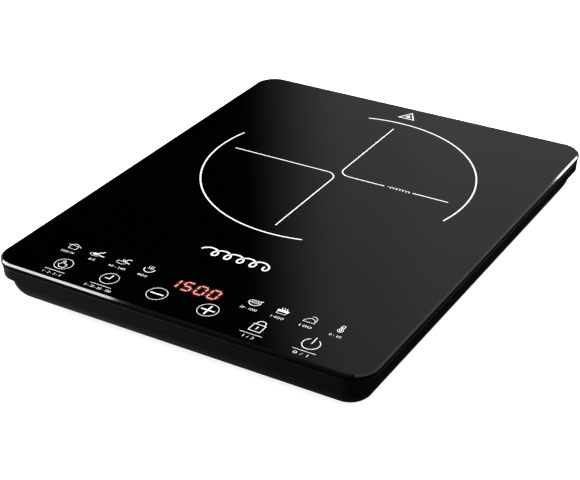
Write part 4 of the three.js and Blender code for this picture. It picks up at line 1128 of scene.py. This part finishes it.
class HOB_OT_fan(Step, bpy.types.Operator):
    """Build the cooling fan's rotor with its curved blades"""

    bl_idname = "hob.fan"
    bl_label = "Fan rotor"

    def build(self, scene):
        low, high = span("fan_rotor")
        joint = next(row for row in frame["joints"] if row["name"] == "fan_spin")
        centre = np.array(joint["pos_m"][:2])
        material = moulded_finish("rotor_plastic", (0.035, 0.035, 0.038), 0.35)
        shape = Shape()
        cup = self.cup(low[2], high[2], centre)
        shape.add(cup, lofted(cup))
        for blade in range(BLADES):
            rings = self.blade(blade / BLADES * TURN, low[2], high[2], centre)
            shape.add(rings, lofted(rings))
        keep(shape.object("curved_rotor", material), IMPELLER, "inner_plastic", "fan_rotor")

    def cup(self, low, high, centre):
        """The hub: a rounded cup with its mouth up, turned from one profile that comes back inside."""
        outer, inner, middle = HUB_RADIUS, HUB_RADIUS - HUB_WALL, 0.5 * MM
        floor = low + HUB_WALL
        profile = [(middle, low), *quarter((inner, low), (outer, floor), 5, bulge_first=True)]
        profile += [(outer, high), (inner, high), (inner, floor), (middle, floor)]
        return turned(profile, 48, centre)

    def blade(self, start, low, high, centre, steps=10):
        """A thin cambered section carried outwards from the hub, its pitch easing towards the tip."""
        share = np.linspace(0, 1, steps)[:, None]
        radius = BLADE_ROOT + BLADE_LENGTH * share
        around = np.linspace(0, TURN, 16, endpoint=False)[None, :]
        half_chord = (6.6 + 1.0 * share) * MM
        u = half_chord * np.cos(around)
        camber = BLADE_CAMBER * (1 - np.cos(around) ** 2)
        v = BLADE_HALF_THICKNESS * np.sin(around) + camber
        pitch = np.radians(42 - 10 * share)
        side = u * np.cos(pitch) - v * np.sin(pitch)
        rise = u * np.sin(pitch) + v * np.cos(pitch)
        angle = start + side / radius + 0.25 * share
        z = (low + high) / 2 + rise * 0.95
        x, y = centre[0] + radius * np.cos(angle), centre[1] + radius * np.sin(angle)
        return np.stack([x, y, z], -1)[:, ::-1]


class HOB_OT_coil(Step, bpy.types.Operator):
    """Wind the induction coil as one flat spiral of stranded wire"""

    bl_idname = "hob.coil"
    bl_label = "Coil winding"

    def build(self, scene):
        turns = scene.hob_sizes.winding_turns
        outer = WINDING_HIGH[0]
        inner = 26 * MM
        pitch = (outer - inner) / turns
        wire = min(pitch * 0.48, (WINDING_HIGH[2] - WINDING_LOW[2]) / 2)
        steps = turns * 72
        rings = self.spiral(inner + wire, outer - wire, turns, steps, wire)
        material = metal_finish("litz_copper", *COPPER, EVEN)
        keep(solid("litz_spiral", rings, material), HOUSING, "copper", "litz_winding")

    def spiral(self, start, end, turns, steps, wire):
        """A round section carried along a spiral whose radius grows evenly with its angle."""
        share = np.linspace(0, 1, steps)[:, None]
        angle = share * turns * TURN
        radius = start + (end - start) * share
        around = np.arange(8)[None, :] / 8 * TURN
        out = radius + wire * np.cos(around)
        z = (WINDING_LOW[2] + WINDING_HIGH[2]) / 2 + wire * np.sin(around)
        return np.stack([out * np.cos(angle), COIL_Y + out * np.sin(angle), z + 0 * angle], -1)[:, ::-1]


class HOB_OT_finishes(Step, bpy.types.Operator):
    """Give every CAD piece that stays in view or inside its own finish"""

    bl_idname = "hob.finishes"
    bl_label = "Inner finishes"

    def build(self, scene):
        finishes = {slot: inner_finish(slot) for slot in INNER}
        slots = {row["node"]: row["material_slot"] for row in frame["record"]["subparts"]}
        for name, piece in frame["nodes"].items():
            material = finishes.get(slots[name])
            if material is None:
                continue
            piece.data.materials.clear()
            piece.data.materials.append(material)


class HOB_OT_stage(Step, bpy.types.Operator):
    """Set up the pale floor, the studio lights and the camera"""

    bl_idname = "hob.stage"
    bl_label = "Studio"

    azimuth: angle_property("Azimuth", "Camera's turn to the right of the front", 30.884)
    elevation: angle_property("Elevation", "Camera's height above the horizon", 29.592)
    roll: angle_property("Roll", "Camera's roll", -0.503)
    distance: length_property("Distance", "From the camera to its target", 980.6)
    lens: FloatProperty(name="Lens", description="Focal length in millimetres", default=90.833)

    def build(self, scene):
        scene.view_settings.view_transform = "Standard"
        self.camera(scene)
        self.floor(scene)
        self.sky(scene)
        self.lights(scene)

    def camera(self, scene):
        target = Vector((18.532 * MM, -55.506 * MM, TOP))
        level, rise = math.cos(self.elevation), math.sin(self.elevation)
        back = Vector((math.sin(self.azimuth) * level, -math.cos(self.azimuth) * level, rise))
        data = bpy.data.cameras.new("camera")
        data.lens = self.lens
        data.sensor_width = 36.0
        data.clip_start, data.clip_end = 0.01, 100.0
        camera = bpy.data.objects.new("camera", data)
        scene.collection.objects.link(camera)
        turn = back.to_track_quat("Z", "Y").to_matrix().to_4x4()
        turn @= Matrix.Rotation(self.roll, 4, "Z")
        camera.matrix_world = Matrix.Translation(target + back * self.distance) @ turn
        scene.camera = camera

    def floor(self, scene):
        """A round floor that glows a little, so that the hob's shadow on it stays faint."""
        reach, thickness = 8.0, 0.01
        rings = turned([(reach, -thickness), (reach, 0.0)], 64)
        colour = scene.hob_colours.floor
        sockets = {"Specular IOR Level": 0.0, "Roughness": 0.9, "Emission Strength": 0.92}
        finish = Finish("studio_floor", sockets)
        tint = finish.shades(finish.noise(0.6), colour, 0.99, 1.0)
        glow = finish.colours(0.5, tint, (1.0, 1.0, 1.0))
        floor = solid("studio_floor", rings, finish.drive({"Base Color": tint, "Emission Color": glow}))
        floor.visible_diffuse = False
        floor.visible_glossy = False
        floor.visible_shadow = False

    def sky(self, scene):
        """Surroundings by direction: a white band at the horizon, a pale card behind on the right that the
        glass mirrors, a brighter one out to the right, and a dark ground that is paler to the left and straight
        below."""
        world = bpy.data.worlds.new("studio")
        world.use_nodes = True
        scene.world = world
        sky = Nodes(world.node_tree, "Background", "Generated")
        across = sky.dot((math.cos(self.azimuth), math.sin(self.azimuth), 0.0))
        ahead = sky.dot((-math.sin(self.azimuth), math.cos(self.azimuth), 0.0))
        height = sky.axis("Z")
        bearing = across.maths("ARCTAN2", across, ahead)
        card = sky.ramp(bearing, -0.038, 0.052)
        side = sky.ramp(bearing, 0.5, 0.9)
        far_left = 1 - sky.ramp(bearing, -1.5, -1.1)
        climb = sky.ramp(bearing, 0.05, 0.13)
        above = 0.32 * card + 0.07 * climb + 0.45 * side + 0.12 * far_left
        band = 1 - sky.ramp(height, 0.12, 0.26)
        above = above + band * (1 - above)
        left = sky.ramp(0.0 - sky.axis("X"), 0.38, 0.6)
        nadir = sky.ramp(0.0 - height, 0.75, 0.95)
        below = 0.01 + 0.42 * left + 0.05 * nadir
        upper = sky.ramp(height, -0.10, -0.03)
        sky.give(sky.shader, {"Color": (1.0, 1.0, 1.0), "Strength": below + upper * (above - below)})

    def lights(self, scene):
        """A wide softbox overhead, and two strips at the front left and a small one at the back right that the
        glass plate's ground edge catches."""
        front, corner, back = (-0.09, -0.175, 0.037), (-0.14, -0.175, 0.037), (0.14, 0.15, 0.037)
        self.softbox(scene, "overhead", (0.0, 0.4, 2.6), (0.0, 0.0, 0.0), (2.4, 2.4), 90.0)
        along = (-0.924, 0.237, -0.299)
        self.softbox(scene, "strip", (-1.577, -1.105, 1.211), front, (0.966, 0.3), 15.5, along)
        along = (-0.34, 0.814, -0.47)
        self.softbox(scene, "strip_left", (-2.11, -0.575, 0.796), corner, (0.95, 0.3), 14.0, along)
        along = (-0.658, 0.411, -0.63)
        self.softbox(scene, "spark", (0.639, 1.18, 0.353), back, (0.1, 0.12), 0.5, along)

    def softbox(self, scene, name, place, target, size, power, along=None):
        """A rectangular light facing a target, its width laid along a direction where one is given."""
        data = bpy.data.lights.new(name, "AREA")
        data.shape = "RECTANGLE"
        data.size, data.size_y = size
        data.energy = power
        lamp = bpy.data.objects.new(name, data)
        scene.collection.objects.link(lamp)
        back = (Vector(place) - Vector(target)).normalized()
        side = Vector(along) if along else Vector((0.0, 1.0, 0.0)).cross(back)
        up = back.cross(side).normalized()
        side = up.cross(back)
        turn = Matrix((side, up, back)).transposed().to_4x4()
        lamp.matrix_world = Matrix.Translation(Vector(place)) @ turn


class HOB_PT_panel(bpy.types.Panel):
    """Lists the hob's pieces"""

    bl_idname = "HOB_PT_panel"
    bl_label = "Induction hob"
    bl_space_type = "VIEW_3D"
    bl_region_type = "UI"
    bl_category = "Hob"

    def draw(self, context):
        for operator in OPERATORS:
            self.layout.operator(operator.bl_idname)


OPERATORS = (
    HOB_OT_finishes,
    HOB_OT_glass,
    HOB_OT_shells,
    HOB_OT_zone,
    HOB_OT_keys,
    HOB_OT_display,
    HOB_OT_feet,
    HOB_OT_gland,
    HOB_OT_fan,
    HOB_OT_coil,
    HOB_OT_stage,
)
CLASSES = (HobSizes, HobColours, *OPERATORS, HOB_PT_panel)


def register():
    for item in CLASSES:
        bpy.utils.register_class(item)
    bpy.types.Scene.hob_sizes = PointerProperty(type=HobSizes)
    bpy.types.Scene.hob_colours = PointerProperty(type=HobColours)


def unregister():
    del bpy.types.Scene.hob_colours
    del bpy.types.Scene.hob_sizes
    for item in reversed(CLASSES):
        bpy.utils.unregister_class(item)


def main():
    register()
    for operator in OPERATORS:
        family, name = operator.bl_idname.split(".")
        getattr(getattr(bpy.ops, family), name)()


if __name__ == "__main__":
    main()
